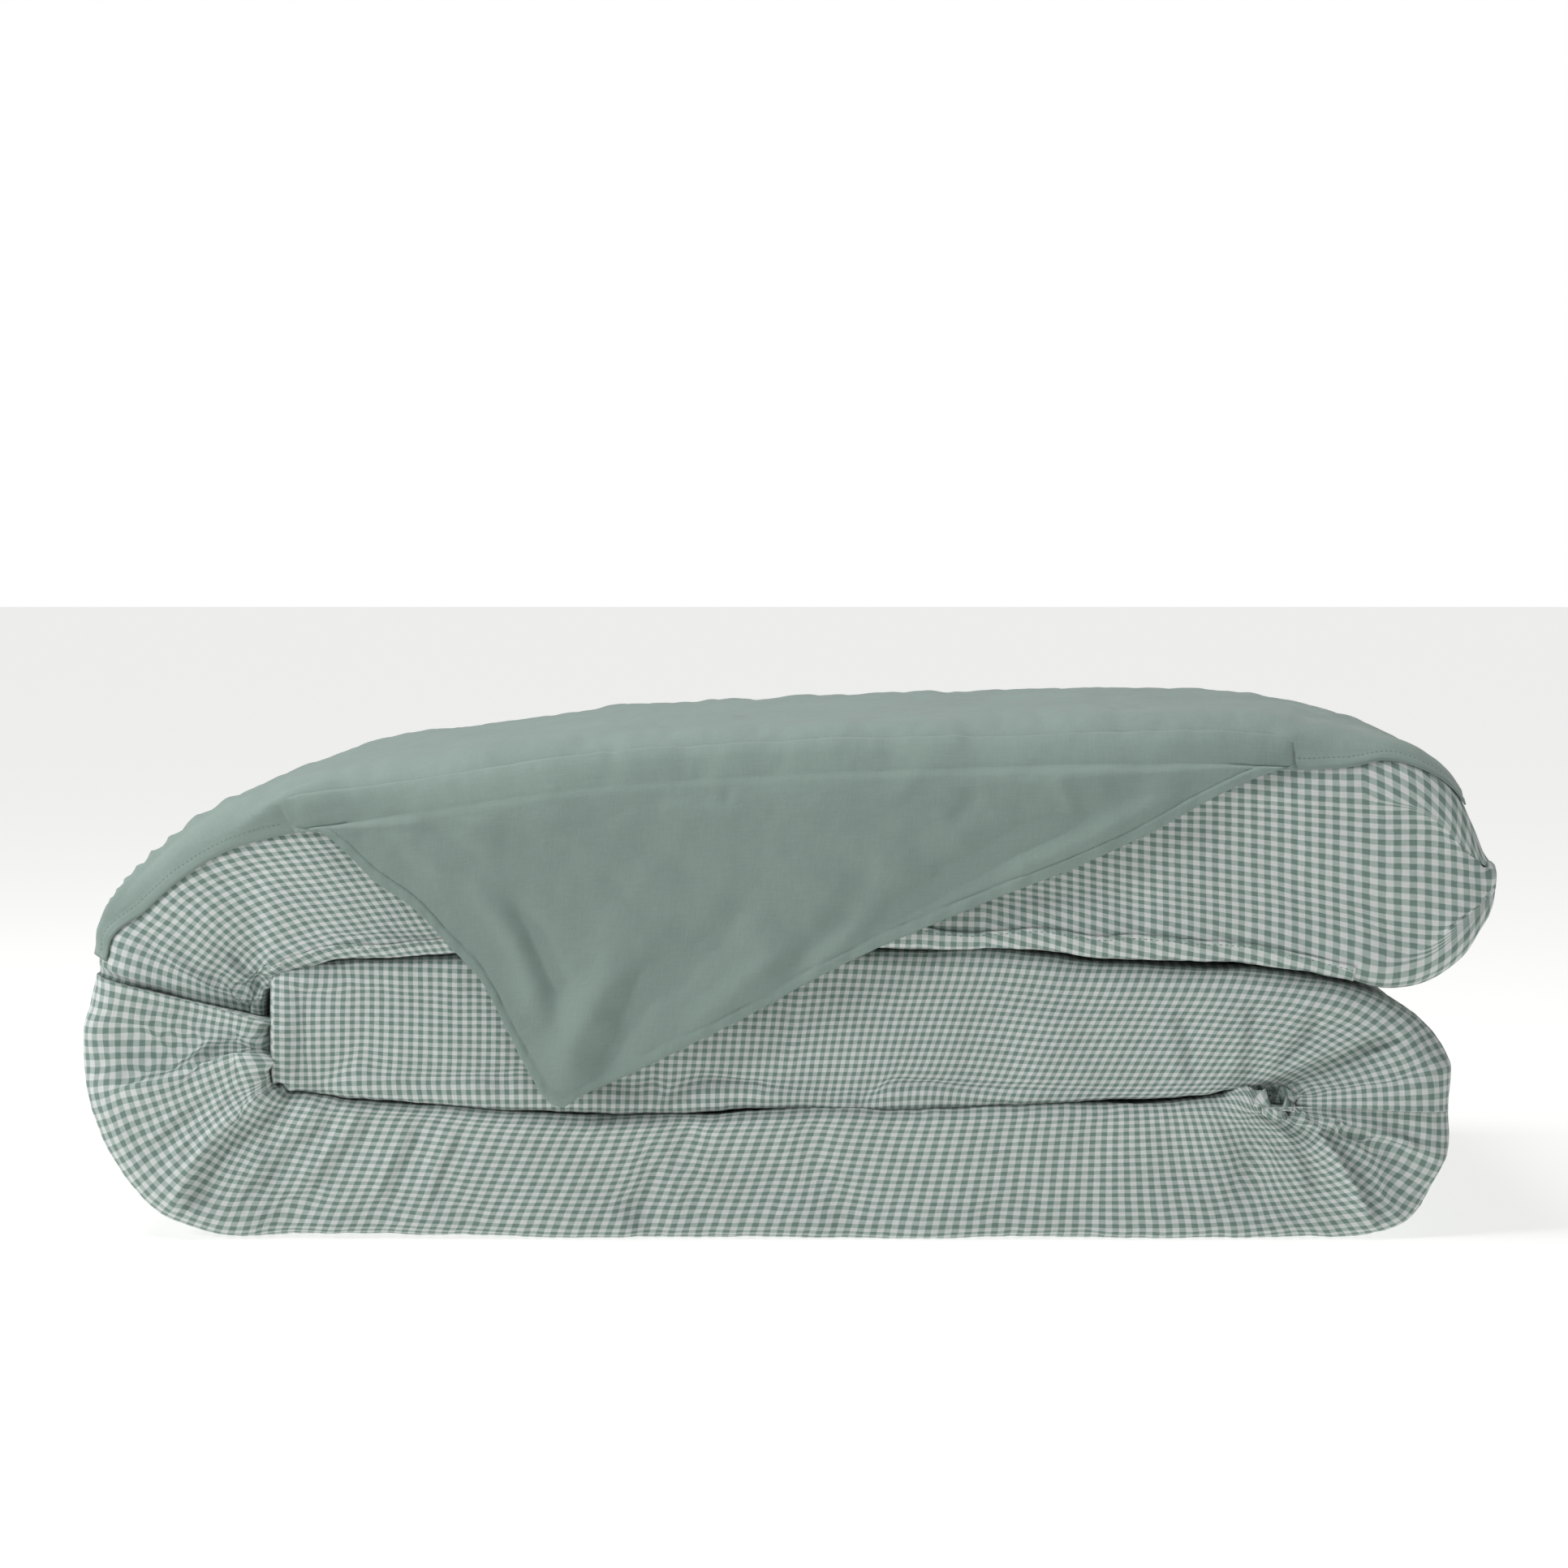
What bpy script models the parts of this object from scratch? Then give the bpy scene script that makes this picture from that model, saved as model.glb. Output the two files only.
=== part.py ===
"""A duvet in its cover, folded in three: cover panels, insert, corner ties, opening and corner flap.

The duvet is one long strip. It starts at the tucked end of the middle layer, runs right, turns down round the
right fold, runs left as the bottom layer, turns up round the left fold and ends as the top layer.
X runs along the strip, Y through the depth (the front is at -Y) and Z up. The origin is under the middle.
"""

from math import asin, cos, degrees, floor, pi, radians, sin

import bmesh
import bpy
from mathutils import Vector

# Driving dimensions, in metres.
STACK_WIDTH = 0.858  # X, over the left fold and the free end of the top layer
STACK_DEPTH = 0.560  # Y, over the covers
BOTTOM_THICKNESS = 0.0775
MIDDLE_THICKNESS = 0.0935
TOP_THICKNESS = 0.147
LAYER_GAP = 0.001  # air between two layers
LEFT_FOLD_REACH = 0.107  # how far the left fold bulges past the tucked end
RIGHT_FOLD_REACH = 0.119  # how far the right fold bulges past its crease
TOP_OVERHANG = 0.026  # free end of the top layer past the right fold
TUCK_CLEARANCE = 0.004  # between the tucked end and the left fold
EDGE_ROUNDING = 0.042  # radius of the long edges
TUCKED_END_ROUNDING = 0.012
FREE_END_ROUNDING = 0.070
OPEN_CLEARANCE = 0.0025  # height of the opened top layer over the floor, halved

# Cloth and running gaps.
COVER_WALL = 0.002
INSERT_WALL = 0.0015
SKIN_GAP = 0.0012  # between two nested skins
PART_GAP = 0.0003  # between two pieces that meet
CLOTH_PLY = 0.0012

# The sage corner that hangs down the front, measured from the left fold along X.
FLAP_START = 0.119
FLAP_TIP = 0.288
FLAP_END = 0.742
FLAP_DROP = 0.222  # length of cloth from its fold line to its tip
FLAP_LEAST_DROP = 0.045
FLAP_CLOTH = 0.002
FLAP_HEM_WIDTH = 0.009
FLAP_HEM_THICKNESS = 0.0032
PANEL_SEAM_ANGLE = 45  # where face and reverse panels meet on a long edge, in degrees

# The seam band on the lower front edge of the top layer, as angles round that edge.
BAND_FROM_ANGLE = 205
BAND_TO_ANGLE = 228

# The opening at the back of the top layer.
OPENING_LENGTH = 0.460
OPENING_WIDTH = 0.034
OPENING_OFFSET = 0.030  # of its middle from the stack's middle
STUD_COUNT = 5
STUD_RADIUS = 0.006
STUD_HEIGHT = 0.001
STUD_END_MARGIN = 0.030

# The care label beside the opening.
LABEL_WIDTH = 0.030
LABEL_LENGTH = 0.042
LABEL_THICKNESS = 0.0008
LABEL_MARGIN = 0.025  # from the opening's end

# Ties that hold the insert's corners in the cover's corners.
LOOP_RADIUS = 0.009
TAPE_RADIUS = 0.0012
TIE_CORNER_INSET = 0.060  # from the long edge
INSERT_END_TAPER = 0.98  # thickness of the insert's free end, as a share of the cover's there

CORNER_STEP = 22.5  # degrees between the points of a rounded edge
FOLD_STEP = 15  # degrees between the stations of a fold

# Colours: (red, green, blue), roughness.
GINGHAM = ((0.42, 0.49, 0.46), 0.92)
SAGE = ((0.205, 0.260, 0.235), 0.90)
COTTON_SHELL = ((0.86, 0.85, 0.82), 0.92)
FIBRE = ((0.93, 0.93, 0.91), 0.98)
TAPE = ((0.80, 0.80, 0.77), 0.90)
STUD_PLASTIC = ((0.70, 0.74, 0.71), 0.40)
LABEL_SATIN = ((0.88, 0.87, 0.84), 0.55)

# Heights and places worked out from the driving dimensions.
LEFT_X = -STACK_WIDTH / 2
RIGHT_X = STACK_WIDTH / 2
MIDDLE_LOW = BOTTOM_THICKNESS + LAYER_GAP
MIDDLE_HIGH = MIDDLE_LOW + MIDDLE_THICKNESS
TOP_LOW = MIDDLE_HIGH + LAYER_GAP
TOP_HIGH = TOP_LOW + TOP_THICKNESS
HALF_DEPTH = STACK_DEPTH / 2
TUCK_X = LEFT_X + LEFT_FOLD_REACH  # inner face of the left fold
TUCKED_END_X = TUCK_X + TUCK_CLEARANCE
RIGHT_FOLD_X = RIGHT_X - TOP_OVERHANG
CREASE_X = RIGHT_FOLD_X - RIGHT_FOLD_REACH
CREASE_Z = BOTTOM_THICKNESS + LAYER_GAP / 2
LEFT_FOLD_Z = (MIDDLE_LOW + MIDDLE_HIGH) / 2
LEFT_PIVOT_Z = TOP_HIGH / 2 + OPEN_CLEARANCE
TIE_REACH = 3 * LOOP_RADIUS + 2 * TAPE_RADIUS + 2 * PART_GAP  # cover end to insert end


class Station:
    """One cross-section of the strip: its inner and outer face in the XZ plane, and its half depth."""

    def __init__(self, inner, outer, half_depth=HALF_DEPTH):
        self.inner, self.outer, self.half_depth = Vector(inner), Vector(outer), half_depth

    def shifted(self, rise):
        lift = Vector((0, rise))
        return Station(self.inner + lift, self.outer + lift, self.half_depth)


def turns(first, last, step):
    """Angles from first to last, in degrees, no more than a step apart."""
    count = max(1, round(abs(last - first) / step))
    return [first + (last - first) * i / count for i in range(count + 1)]


def right_fold(first, last):
    """Stations of the right fold. 90 is its top, -90 its bottom."""
    stations = []
    for turn in turns(first, last, FOLD_STEP):
        c, s = cos(radians(turn)), sin(radians(turn))
        rise = MIDDLE_HIGH - CREASE_Z if turn > 0 else CREASE_Z
        inner = (CREASE_X + LAYER_GAP / 2 * c, CREASE_Z + LAYER_GAP / 2 * s)
        stations.append(Station(inner, (CREASE_X + RIGHT_FOLD_REACH * c, CREASE_Z + rise * s)))
    return stations


def left_fold(first, last):
    """Stations of the left fold, round the tucked end. -90 is its bottom, 90 its top."""
    stations = []
    for turn in turns(first, last, FOLD_STEP):
        c, s = cos(radians(turn)), sin(radians(turn))
        rise = TOP_HIGH - LEFT_FOLD_Z if turn > 0 else LEFT_FOLD_Z
        inner_rise = (TOP_LOW - MIDDLE_HIGH) + MIDDLE_THICKNESS / 2
        inner = (TUCKED_END_X - TUCK_CLEARANCE * c, LEFT_FOLD_Z + inner_rise * s)
        reach = LEFT_FOLD_REACH + TUCK_CLEARANCE
        stations.append(Station(inner, (TUCKED_END_X - reach * c, LEFT_FOLD_Z + rise * s)))
    return stations


LEFT_SPLIT_TURN = degrees(asin((LEFT_PIVOT_Z - LEFT_FOLD_Z) / (TOP_HIGH - LEFT_FOLD_Z)))


def bottom_run():
    """From the left fold's split, under the stack, to the right fold's split."""
    left = left_fold(LEFT_SPLIT_TURN, 0)[:-1] + left_fold(0, -90)
    left[0] = left[0].shifted(-PART_GAP / 2)
    right = right_fold(-90, 0)
    right[-1] = right[-1].shifted(-PART_GAP / 2)
    return left + right


def middle_run():
    """From the tucked end to the right fold's split, without the end seam."""
    x = TUCKED_END_X + TUCKED_END_ROUNDING + PART_GAP
    right = right_fold(90, 0)
    right[-1] = right[-1].shifted(PART_GAP / 2)
    return [Station((x, MIDDLE_LOW), (x, MIDDLE_HIGH))] + right


def free_end(turn):
    """A station on the rounded free end of the top layer. 90 is where the rounding starts, 0 its very end."""
    c, s = cos(radians(turn)), sin(radians(turn))
    x = RIGHT_X - FREE_END_ROUNDING * (1 - c)
    middle, half = (TOP_LOW + TOP_HIGH) / 2, TOP_THICKNESS / 2 * s
    return Station((x, middle - half), (x, middle + half), HALF_DEPTH - EDGE_ROUNDING * (1 - s))


FREE_END_TURNS = turns(90, 34, 7)
FREE_SEAM_TURNS = turns(33, 5, 7)


def top_run():
    """From the left fold's split to the seam of the free end."""
    left = left_fold(LEFT_SPLIT_TURN, 90)
    left[0] = left[0].shifted(PART_GAP / 2)
    return left + [free_end(turn) for turn in FREE_END_TURNS]


def tucked_end_seam():
    """Stations of the seam that closes the tucked end of the middle layer."""
    stations = []
    for turn in (90, 65, 40, 15):
        back = TUCKED_END_ROUNDING * (1 - sin(radians(turn)))
        x = TUCKED_END_X + TUCKED_END_ROUNDING * (1 - cos(radians(turn)))
        stations.append(Station((x, MIDDLE_LOW + back), (x, MIDDLE_HIGH - back), HALF_DEPTH - back))
    return stations


def edge_point(station, inset, angle, corner):
    """A point of a station's rounded rectangle. Angle 0 faces the back, 90 the outer face, 180 the front."""
    across = station.outer - station.inner
    half = across.length / 2 - inset
    wide = station.half_depth - inset
    rounding = min(EDGE_ROUNDING, across.length / 2) - inset
    side_y = 1 if corner in (0, 3) else -1
    side_n = 1 if corner in (0, 1) else -1
    y = side_y * (wide - rounding) + rounding * cos(radians(angle))
    n = side_n * (half - rounding) + rounding * sin(radians(angle))
    centre = (station.inner + station.outer) / 2 + across.normalized() * n
    return Vector((centre.x, y, centre.y))


def edge_line(station, inset, first=0, last=360):
    """Points of a station's rounded rectangle from one angle to another."""
    between = [a for a in turns(0, 720, CORNER_STEP) if first < a < last]
    points = []
    for angle in [first, *between, last]:
        before, after = floor((angle - 1e-6) / 90) % 4, floor((angle + 1e-6) / 90) % 4
        corners = [after if angle == first else before]
        if before != after and first < angle < last:
            corners = [before, after]
        points += [edge_point(station, inset, angle, corner) for corner in corners]
    return points


def material(name, look):
    colour, roughness = look
    made = bpy.data.materials.get(name) or bpy.data.materials.new(name)
    made.use_nodes = True
    shader = made.node_tree.nodes["Principled BSDF"]
    shader.inputs["Base Color"].default_value = (*colour, 1)
    shader.inputs["Roughness"].default_value = roughness
    shader.inputs["Metallic"].default_value = 0
    made.diffuse_color = (*colour, 1)
    return made


def add_object(name, mesh, look, pivot):
    """Links a mesh, whose points are in the world, as a child of its pivot."""
    mesh.transform(pivot.matrix_world.inverted())
    obj = bpy.data.objects.new(name, mesh)
    bpy.context.scene.collection.objects.link(obj)
    obj.parent = pivot
    mesh.materials.append(material(name, look))
    return obj


def finish_mesh(name, bm, smooth_angle=40):
    bmesh.ops.remove_doubles(bm, verts=bm.verts, dist=1e-7)
    bmesh.ops.recalc_face_normals(bm, faces=bm.faces)
    mesh = bpy.data.meshes.new(name)
    bm.to_mesh(mesh)
    bm.free()
    mesh.shade_smooth()
    mesh.set_sharp_from_angle(angle=radians(smooth_angle))
    return mesh


def bridge(bm, loops, closed=True):
    """Quads between each two loops of vertices."""
    for low, high in zip(loops, loops[1:]):
        count = len(low)
        for i in range(count if closed else count - 1):
            j = (i + 1) % count
            bm.faces.new((low[i], low[j], high[j], high[i]))


def swept_solid(name, sections, look, pivot):
    """A solid through sections of points, capped at both ends."""
    bm = bmesh.new()
    loops = [[bm.verts.new(p) for p in section] for section in sections]
    bridge(bm, loops)
    bm.faces.new(loops[0])
    bm.faces.new(loops[-1])
    return add_object(name, finish_mesh(name, bm), look, pivot)


def swept_tube(name, stations, inset, wall, look, pivot):
    """A skin round the strip, open at both ends."""
    bm = bmesh.new()
    outer = [[bm.verts.new(p) for p in edge_line(s, inset)] for s in stations]
    inner = [[bm.verts.new(p) for p in edge_line(s, inset + wall)] for s in stations]
    bridge(bm, outer)
    bridge(bm, inner)
    for end in (0, -1):
        bridge(bm, [outer[end], inner[end]])
    return add_object(name, finish_mesh(name, bm), look, pivot)


def swept_band(name, stations, inset, wall, angles, look, pivot):
    """A skin round part of the strip's section, from one angle to another."""
    sections = []
    for s in stations:
        sections.append(edge_line(s, inset, *angles) + edge_line(s, inset + wall, *angles)[::-1])
    return swept_solid(name, sections, look, pivot)


def pulled_back(stations, distance):
    """A run of stations whose first one is moved along the strip, towards the second."""
    first, second = stations[0], stations[1]
    step = (second.outer - first.outer).normalized() * distance
    moved = Station(first.inner + step, first.outer + step, first.half_depth)
    return [moved] + stations[1:]


def cut_at(stations, x):
    """The stations left of x, and one more at x, in the top layer."""
    kept = [s for s in stations if s.outer.x < x - LAYER_GAP]
    middle = (TOP_LOW + TOP_HIGH) / 2
    share = INSERT_END_TAPER * free_end_share(x)
    half = TOP_THICKNESS / 2 * share
    end = Station((x, middle - half), (x, middle + half), HALF_DEPTH - EDGE_ROUNDING * (1 - share))
    return kept + [end]


def free_end_share(x):
    """How much of its thickness the top layer still has at x, in its rounded end."""
    past = max(0, x - (RIGHT_X - FREE_END_ROUNDING)) / FREE_END_ROUNDING
    return (1 - past * past) ** 0.5


def pivot_at(name, location, parent=None):
    """An empty on a joint's axis."""
    empty = bpy.data.objects.new(name, None)
    empty.empty_display_size = 0.05
    bpy.context.scene.collection.objects.link(empty)
    empty.location = location if parent is None else Vector(location) - parent.location
    empty.parent = parent
    bpy.context.view_layer.update()
    return empty


def make_bottom_layer(pivot):
    run = bottom_run()
    inset = COVER_WALL + SKIN_GAP
    swept_tube("bottom_cover", run, 0, COVER_WALL, GINGHAM, pivot)
    swept_tube("bottom_insert_shell", run, inset, INSERT_WALL, COTTON_SHELL, pivot)
    fill_inset = inset + INSERT_WALL + SKIN_GAP
    swept_solid("bottom_fill", [edge_line(s, fill_inset) for s in run], FIBRE, pivot)


def make_middle_layer(pivot):
    run = middle_run()
    inset = COVER_WALL + SKIN_GAP
    swept_tube("middle_cover", run, 0, COVER_WALL, GINGHAM, pivot)
    seam = [edge_line(s, 0) for s in tucked_end_seam()]
    swept_solid("middle_end_seam", seam, GINGHAM, pivot)
    insert = pulled_back(run, TIE_REACH)
    swept_tube("middle_insert_shell", insert, inset, INSERT_WALL, COTTON_SHELL, pivot)
    fill_inset = inset + INSERT_WALL + SKIN_GAP
    swept_solid("middle_fill", [edge_line(s, fill_inset) for s in insert], FIBRE, pivot)


def make_top_layer(pivot):
    run = top_run()
    inset = COVER_WALL + SKIN_GAP
    seam_gap = 1.0
    face = (180 - PANEL_SEAM_ANGLE + seam_gap, 360 + PANEL_SEAM_ANGLE - seam_gap)
    reverse = (PANEL_SEAM_ANGLE + seam_gap, 180 - PANEL_SEAM_ANGLE - seam_gap)
    swept_band("top_cover", run, 0, COVER_WALL, face, GINGHAM, pivot)
    swept_band("sage_top_panel", run, 0, COVER_WALL, reverse, SAGE, pivot)
    seam = [edge_line(free_end(turn), 0) for turn in FREE_SEAM_TURNS]
    swept_solid("top_end_seam", seam, GINGHAM, pivot)
    end = free_end(FREE_SEAM_TURNS[0]).outer.x
    insert = cut_at(run, end - TIE_REACH)
    swept_tube("top_insert_shell", insert, inset, INSERT_WALL, COTTON_SHELL, pivot)
    fill_inset = inset + INSERT_WALL + SKIN_GAP
    swept_solid("top_fill", [edge_line(s, fill_inset) for s in insert], FIBRE, pivot)
    make_seam_band(pivot)


def make_seam_band(pivot):
    """The stitched band on the lower front edge of the top layer."""
    angles = (BAND_FROM_ANGLE, BAND_TO_ANGLE)
    ends = (TUCKED_END_X, RIGHT_X - FREE_END_ROUNDING)
    stations = [Station((x, TOP_LOW), (x, TOP_HIGH)) for x in ends]
    swept_band("front_seam_band", stations, -PART_GAP - CLOTH_PLY, CLOTH_PLY, angles, GINGHAM, pivot)


def add_ring(name, centre, upright, look, pivot):
    """A loop of tape, lying flat or standing along X."""
    mesh = bpy.data.meshes.new(name)
    bm = bmesh.new()
    steps, sides = 14, 6
    loops = []
    for i in range(steps):
        a = 2 * pi * i / steps
        loop = []
        for k in range(sides):
            b = 2 * pi * k / sides
            reach = LOOP_RADIUS + TAPE_RADIUS * cos(b)
            side = TAPE_RADIUS * sin(b)
            flat = Vector((reach * cos(a), reach * sin(a), side))
            point = Vector((flat.x, flat.z, flat.y)) if upright else flat
            loop.append(bm.verts.new(Vector(centre) + point))
        loops.append(loop)
    bridge(bm, loops + [loops[0]])
    bmesh.ops.recalc_face_normals(bm, faces=bm.faces)
    bm.to_mesh(mesh)
    bm.free()
    mesh.shade_smooth()
    return add_object(name, mesh, look, pivot)


def make_corner_ties(layer, insert_x, towards, height, pivot):
    """A loop on the insert and a tie in the cover, linked, at the two corners of a layer's end."""
    reach = LOOP_RADIUS + TAPE_RADIUS
    loop_x = insert_x + towards * (PART_GAP + reach)
    tie_x = loop_x + towards * LOOP_RADIUS
    for side, y in (("front", -HALF_DEPTH + TIE_CORNER_INSET), ("back", HALF_DEPTH - TIE_CORNER_INSET)):
        add_ring(f"insert_loop_{layer}_{side}", (loop_x, y, height), False, TAPE, pivot)
        add_ring(f"cover_tie_{layer}_{side}", (tie_x, y, height), True, TAPE, pivot)


def flap_drop(x):
    """Length of the hanging corner at x, from its fold line down."""
    start, tip, end = LEFT_X + FLAP_START, LEFT_X + FLAP_TIP, LEFT_X + FLAP_END
    if x < tip:
        share = ((x - start) / (tip - start)) ** 1.25
    else:
        share = (end - x) / (end - tip)
    return FLAP_LEAST_DROP + (FLAP_DROP - FLAP_LEAST_DROP) * share


def flap_point(x, drop, out):
    """A point on the front, a length of cloth below the corner's fold line and out from the cover."""
    radius = EDGE_ROUNDING + out
    arc = EDGE_ROUNDING * radians(PANEL_SEAM_ANGLE)
    y0, z0 = -HALF_DEPTH + EDGE_ROUNDING, TOP_HIGH - EDGE_ROUNDING
    if drop < arc:
        angle = radians(PANEL_SEAM_ANGLE) - drop / EDGE_ROUNDING
        return Vector((x, y0 - radius * cos(angle), z0 + radius * sin(angle)))
    return Vector((x, y0 - radius, z0 - (drop - arc)))


def spread(first, last, count):
    return [first + (last - first) * i / count for i in range(count + 1)]


def make_hanging_strip(name, columns, from_drop, to_drop, thickness, pivot):
    """A curved strip of cloth on the front, between two drops that change along X."""
    sections = []
    bend = EDGE_ROUNDING * radians(PANEL_SEAM_ANGLE)
    for x in columns:
        first, last = from_drop(x), to_drop(x)
        drops = spread(first, last, 3)
        if first < bend:
            drops = spread(first, bend, 9) + spread(bend, last, 3)[1:]
        inner = [flap_point(x, drop, PART_GAP) for drop in drops]
        outer = [flap_point(x, drop, PART_GAP + thickness) for drop in drops]
        sections.append(inner + outer[::-1])
    return swept_solid(name, sections, SAGE, pivot)


def make_corner_flap(pivot):
    """The sage corner and its two hems."""
    def fold_line(x):
        return 2 * PART_GAP

    def panel_end(x):
        return hem_top(x) - 2 * PART_GAP

    def hem_top(x):
        return flap_drop(x) - FLAP_HEM_WIDTH

    start, tip, end = LEFT_X + FLAP_START, LEFT_X + FLAP_TIP, LEFT_X + FLAP_END
    left, right = spread(start, tip, 7), spread(tip, end, 14)
    make_hanging_strip("corner_flap_panel", left + right[1:], fold_line, panel_end, FLAP_CLOTH, pivot)
    left[-1] = tip - PART_GAP
    make_hanging_strip("corner_flap_left_hem", left, hem_top, flap_drop, FLAP_HEM_THICKNESS, pivot)
    make_hanging_strip("corner_flap_right_hem", right, hem_top, flap_drop, FLAP_HEM_THICKNESS, pivot)


def add_box(name, low, high, look, pivot):
    bm = bmesh.new()
    bmesh.ops.create_cube(bm, size=1)
    low, high = Vector(low), Vector(high)
    for v in bm.verts:
        v.co = Vector([(low[i] + high[i]) / 2 + v.co[i] * (high[i] - low[i]) for i in range(3)])
    mesh = bpy.data.meshes.new(name)
    bm.to_mesh(mesh)
    bm.free()
    return add_object(name, mesh, look, pivot)


def add_disc(name, centre, radius, height, look, pivot):
    """A round fastener whose axis runs along Y, from its inner face outwards."""
    bm = bmesh.new()
    bmesh.ops.create_cone(bm, cap_ends=True, segments=20, radius1=radius, radius2=radius * 0.86, depth=height)
    for v in bm.verts:
        v.co = Vector(centre) + Vector((v.co.x, v.co.z + height / 2, -v.co.y))
    return add_object(name, finish_mesh(name, bm, 30), look, pivot)


OPENING_Z = (TOP_LOW + TOP_HIGH) / 2
UNDER_PLY_Y = HALF_DEPTH + PART_GAP
STUD_Y = UNDER_PLY_Y + CLOTH_PLY + PART_GAP
SOCKET_Y = STUD_Y + STUD_HEIGHT + PART_GAP
FLAP_PLY_Y = SOCKET_Y + STUD_HEIGHT + PART_GAP
OPENING_LOW_Z = OPENING_Z - OPENING_WIDTH / 2
OPENING_HIGH_Z = OPENING_Z + OPENING_WIDTH / 2
OPENING_FROM_X = OPENING_OFFSET - OPENING_LENGTH / 2
OPENING_TO_X = OPENING_OFFSET + OPENING_LENGTH / 2


def make_opening(layer, flap):
    """The cover's opening: an under ply with press studs, and a flap with their sockets."""
    def add_ply(name, y, look, pivot):
        low = (OPENING_FROM_X, y, OPENING_LOW_Z)
        add_box(name, low, (OPENING_TO_X, y + CLOTH_PLY, OPENING_HIGH_Z), look, pivot)

    add_ply("opening_under_ply", UNDER_PLY_Y, SAGE, layer)
    add_ply("opening_flap", FLAP_PLY_Y, GINGHAM, flap)
    first, last = OPENING_FROM_X + STUD_END_MARGIN, OPENING_TO_X - STUD_END_MARGIN
    for i, x in enumerate(spread(first, last, STUD_COUNT - 1), 1):
        add_disc(f"press_stud_{i}", (x, STUD_Y, OPENING_Z), STUD_RADIUS, STUD_HEIGHT, STUD_PLASTIC, layer)
        add_disc(f"press_socket_{i}", (x, SOCKET_Y, OPENING_Z), STUD_RADIUS, STUD_HEIGHT, STUD_PLASTIC, flap)


def make_label(pivot):
    x = OPENING_FROM_X - LABEL_MARGIN
    low = (x - LABEL_WIDTH, UNDER_PLY_Y, OPENING_HIGH_Z - LABEL_LENGTH)
    add_box("care_label", low, (x, UNDER_PLY_Y + LABEL_THICKNESS, OPENING_HIGH_Z), LABEL_SATIN, pivot)


def build():
    for obj in list(bpy.data.objects):
        bpy.data.objects.remove(obj)
    base = pivot_at("stack_base", (0, 0, 0))
    right = pivot_at("right_fold_axis", (RIGHT_FOLD_X, 0, CREASE_Z))
    left = pivot_at("left_fold_axis", (LEFT_X, 0, LEFT_PIVOT_Z))
    hinge = flap_point(0, 0, PART_GAP + FLAP_HEM_THICKNESS)
    corner = pivot_at("corner_flap_axis", hinge, left)
    flap = pivot_at("opening_flap_axis", (OPENING_OFFSET, FLAP_PLY_Y + CLOTH_PLY, OPENING_HIGH_Z), left)
    label = pivot_at("care_label_axis", (OPENING_FROM_X, UNDER_PLY_Y + LABEL_THICKNESS, OPENING_HIGH_Z), left)
    make_bottom_layer(base)
    make_middle_layer(right)
    make_top_layer(left)
    tucked_insert_x = TUCKED_END_X + TUCKED_END_ROUNDING + PART_GAP + TIE_REACH
    make_corner_ties("middle", tucked_insert_x, -1, LEFT_FOLD_Z, right)
    free_insert_x = free_end(FREE_SEAM_TURNS[0]).outer.x - TIE_REACH
    make_corner_ties("top", free_insert_x, 1, OPENING_Z, left)
    make_corner_flap(corner)
    make_opening(left, flap)
    make_label(label)


build()
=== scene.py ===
import math

import bmesh
import bpy
import numpy as np
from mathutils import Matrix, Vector


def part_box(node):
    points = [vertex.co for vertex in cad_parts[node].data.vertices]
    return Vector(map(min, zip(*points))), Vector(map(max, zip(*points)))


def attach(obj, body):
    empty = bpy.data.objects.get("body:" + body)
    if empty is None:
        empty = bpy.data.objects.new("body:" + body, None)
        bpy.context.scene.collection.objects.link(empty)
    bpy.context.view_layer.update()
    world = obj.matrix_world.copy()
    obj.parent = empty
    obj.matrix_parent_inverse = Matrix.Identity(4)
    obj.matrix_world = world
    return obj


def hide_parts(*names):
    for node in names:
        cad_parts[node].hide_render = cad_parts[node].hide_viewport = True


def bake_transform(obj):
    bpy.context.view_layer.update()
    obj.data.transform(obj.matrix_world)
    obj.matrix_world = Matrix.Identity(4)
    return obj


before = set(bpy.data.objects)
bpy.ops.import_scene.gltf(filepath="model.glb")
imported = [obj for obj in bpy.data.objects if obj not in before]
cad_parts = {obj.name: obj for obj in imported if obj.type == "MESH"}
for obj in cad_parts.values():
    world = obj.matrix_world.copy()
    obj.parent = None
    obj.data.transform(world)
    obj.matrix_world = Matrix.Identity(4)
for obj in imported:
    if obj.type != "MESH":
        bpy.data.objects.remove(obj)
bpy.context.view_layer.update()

CHECK = 0.008  # one dark and one light stripe of the gingham
HALF_DEPTH = 0.28
CLOTH_STEP = 0.0024  # spacing of the modelled cloth points
COARSE = 4  # every fourth point goes through the cloth simulation


# ---- small helpers


def curve(points):
    """A smooth function through listed points, given as rows of a parameter and values."""
    table = np.array(points, float)
    x, values = table[:, 0], table[:, 1:]
    slopes = np.gradient(values, x, axis=0)

    def at(q):
        q = np.clip(np.asarray(q, float), x[0], x[-1])
        i = np.clip(np.searchsorted(x, q) - 1, 0, len(x) - 2)
        h = x[i + 1] - x[i]
        t = ((q - x[i]) / h)[..., None]
        h = h[..., None]
        a = (2 * t**3 - 3 * t**2 + 1) * values[i] + (t**3 - 2 * t**2 + t) * h * slopes[i]
        b = (3 * t**2 - 2 * t**3) * values[i + 1] + (t**3 - t**2) * h * slopes[i + 1]
        out = a + b
        return out[..., 0] if values.shape[1] == 1 else out

    return at


def ease(x, low, high):
    t = np.clip((x - low) / (high - low), 0, 1)
    return t * t * (3 - 2 * t)


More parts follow.
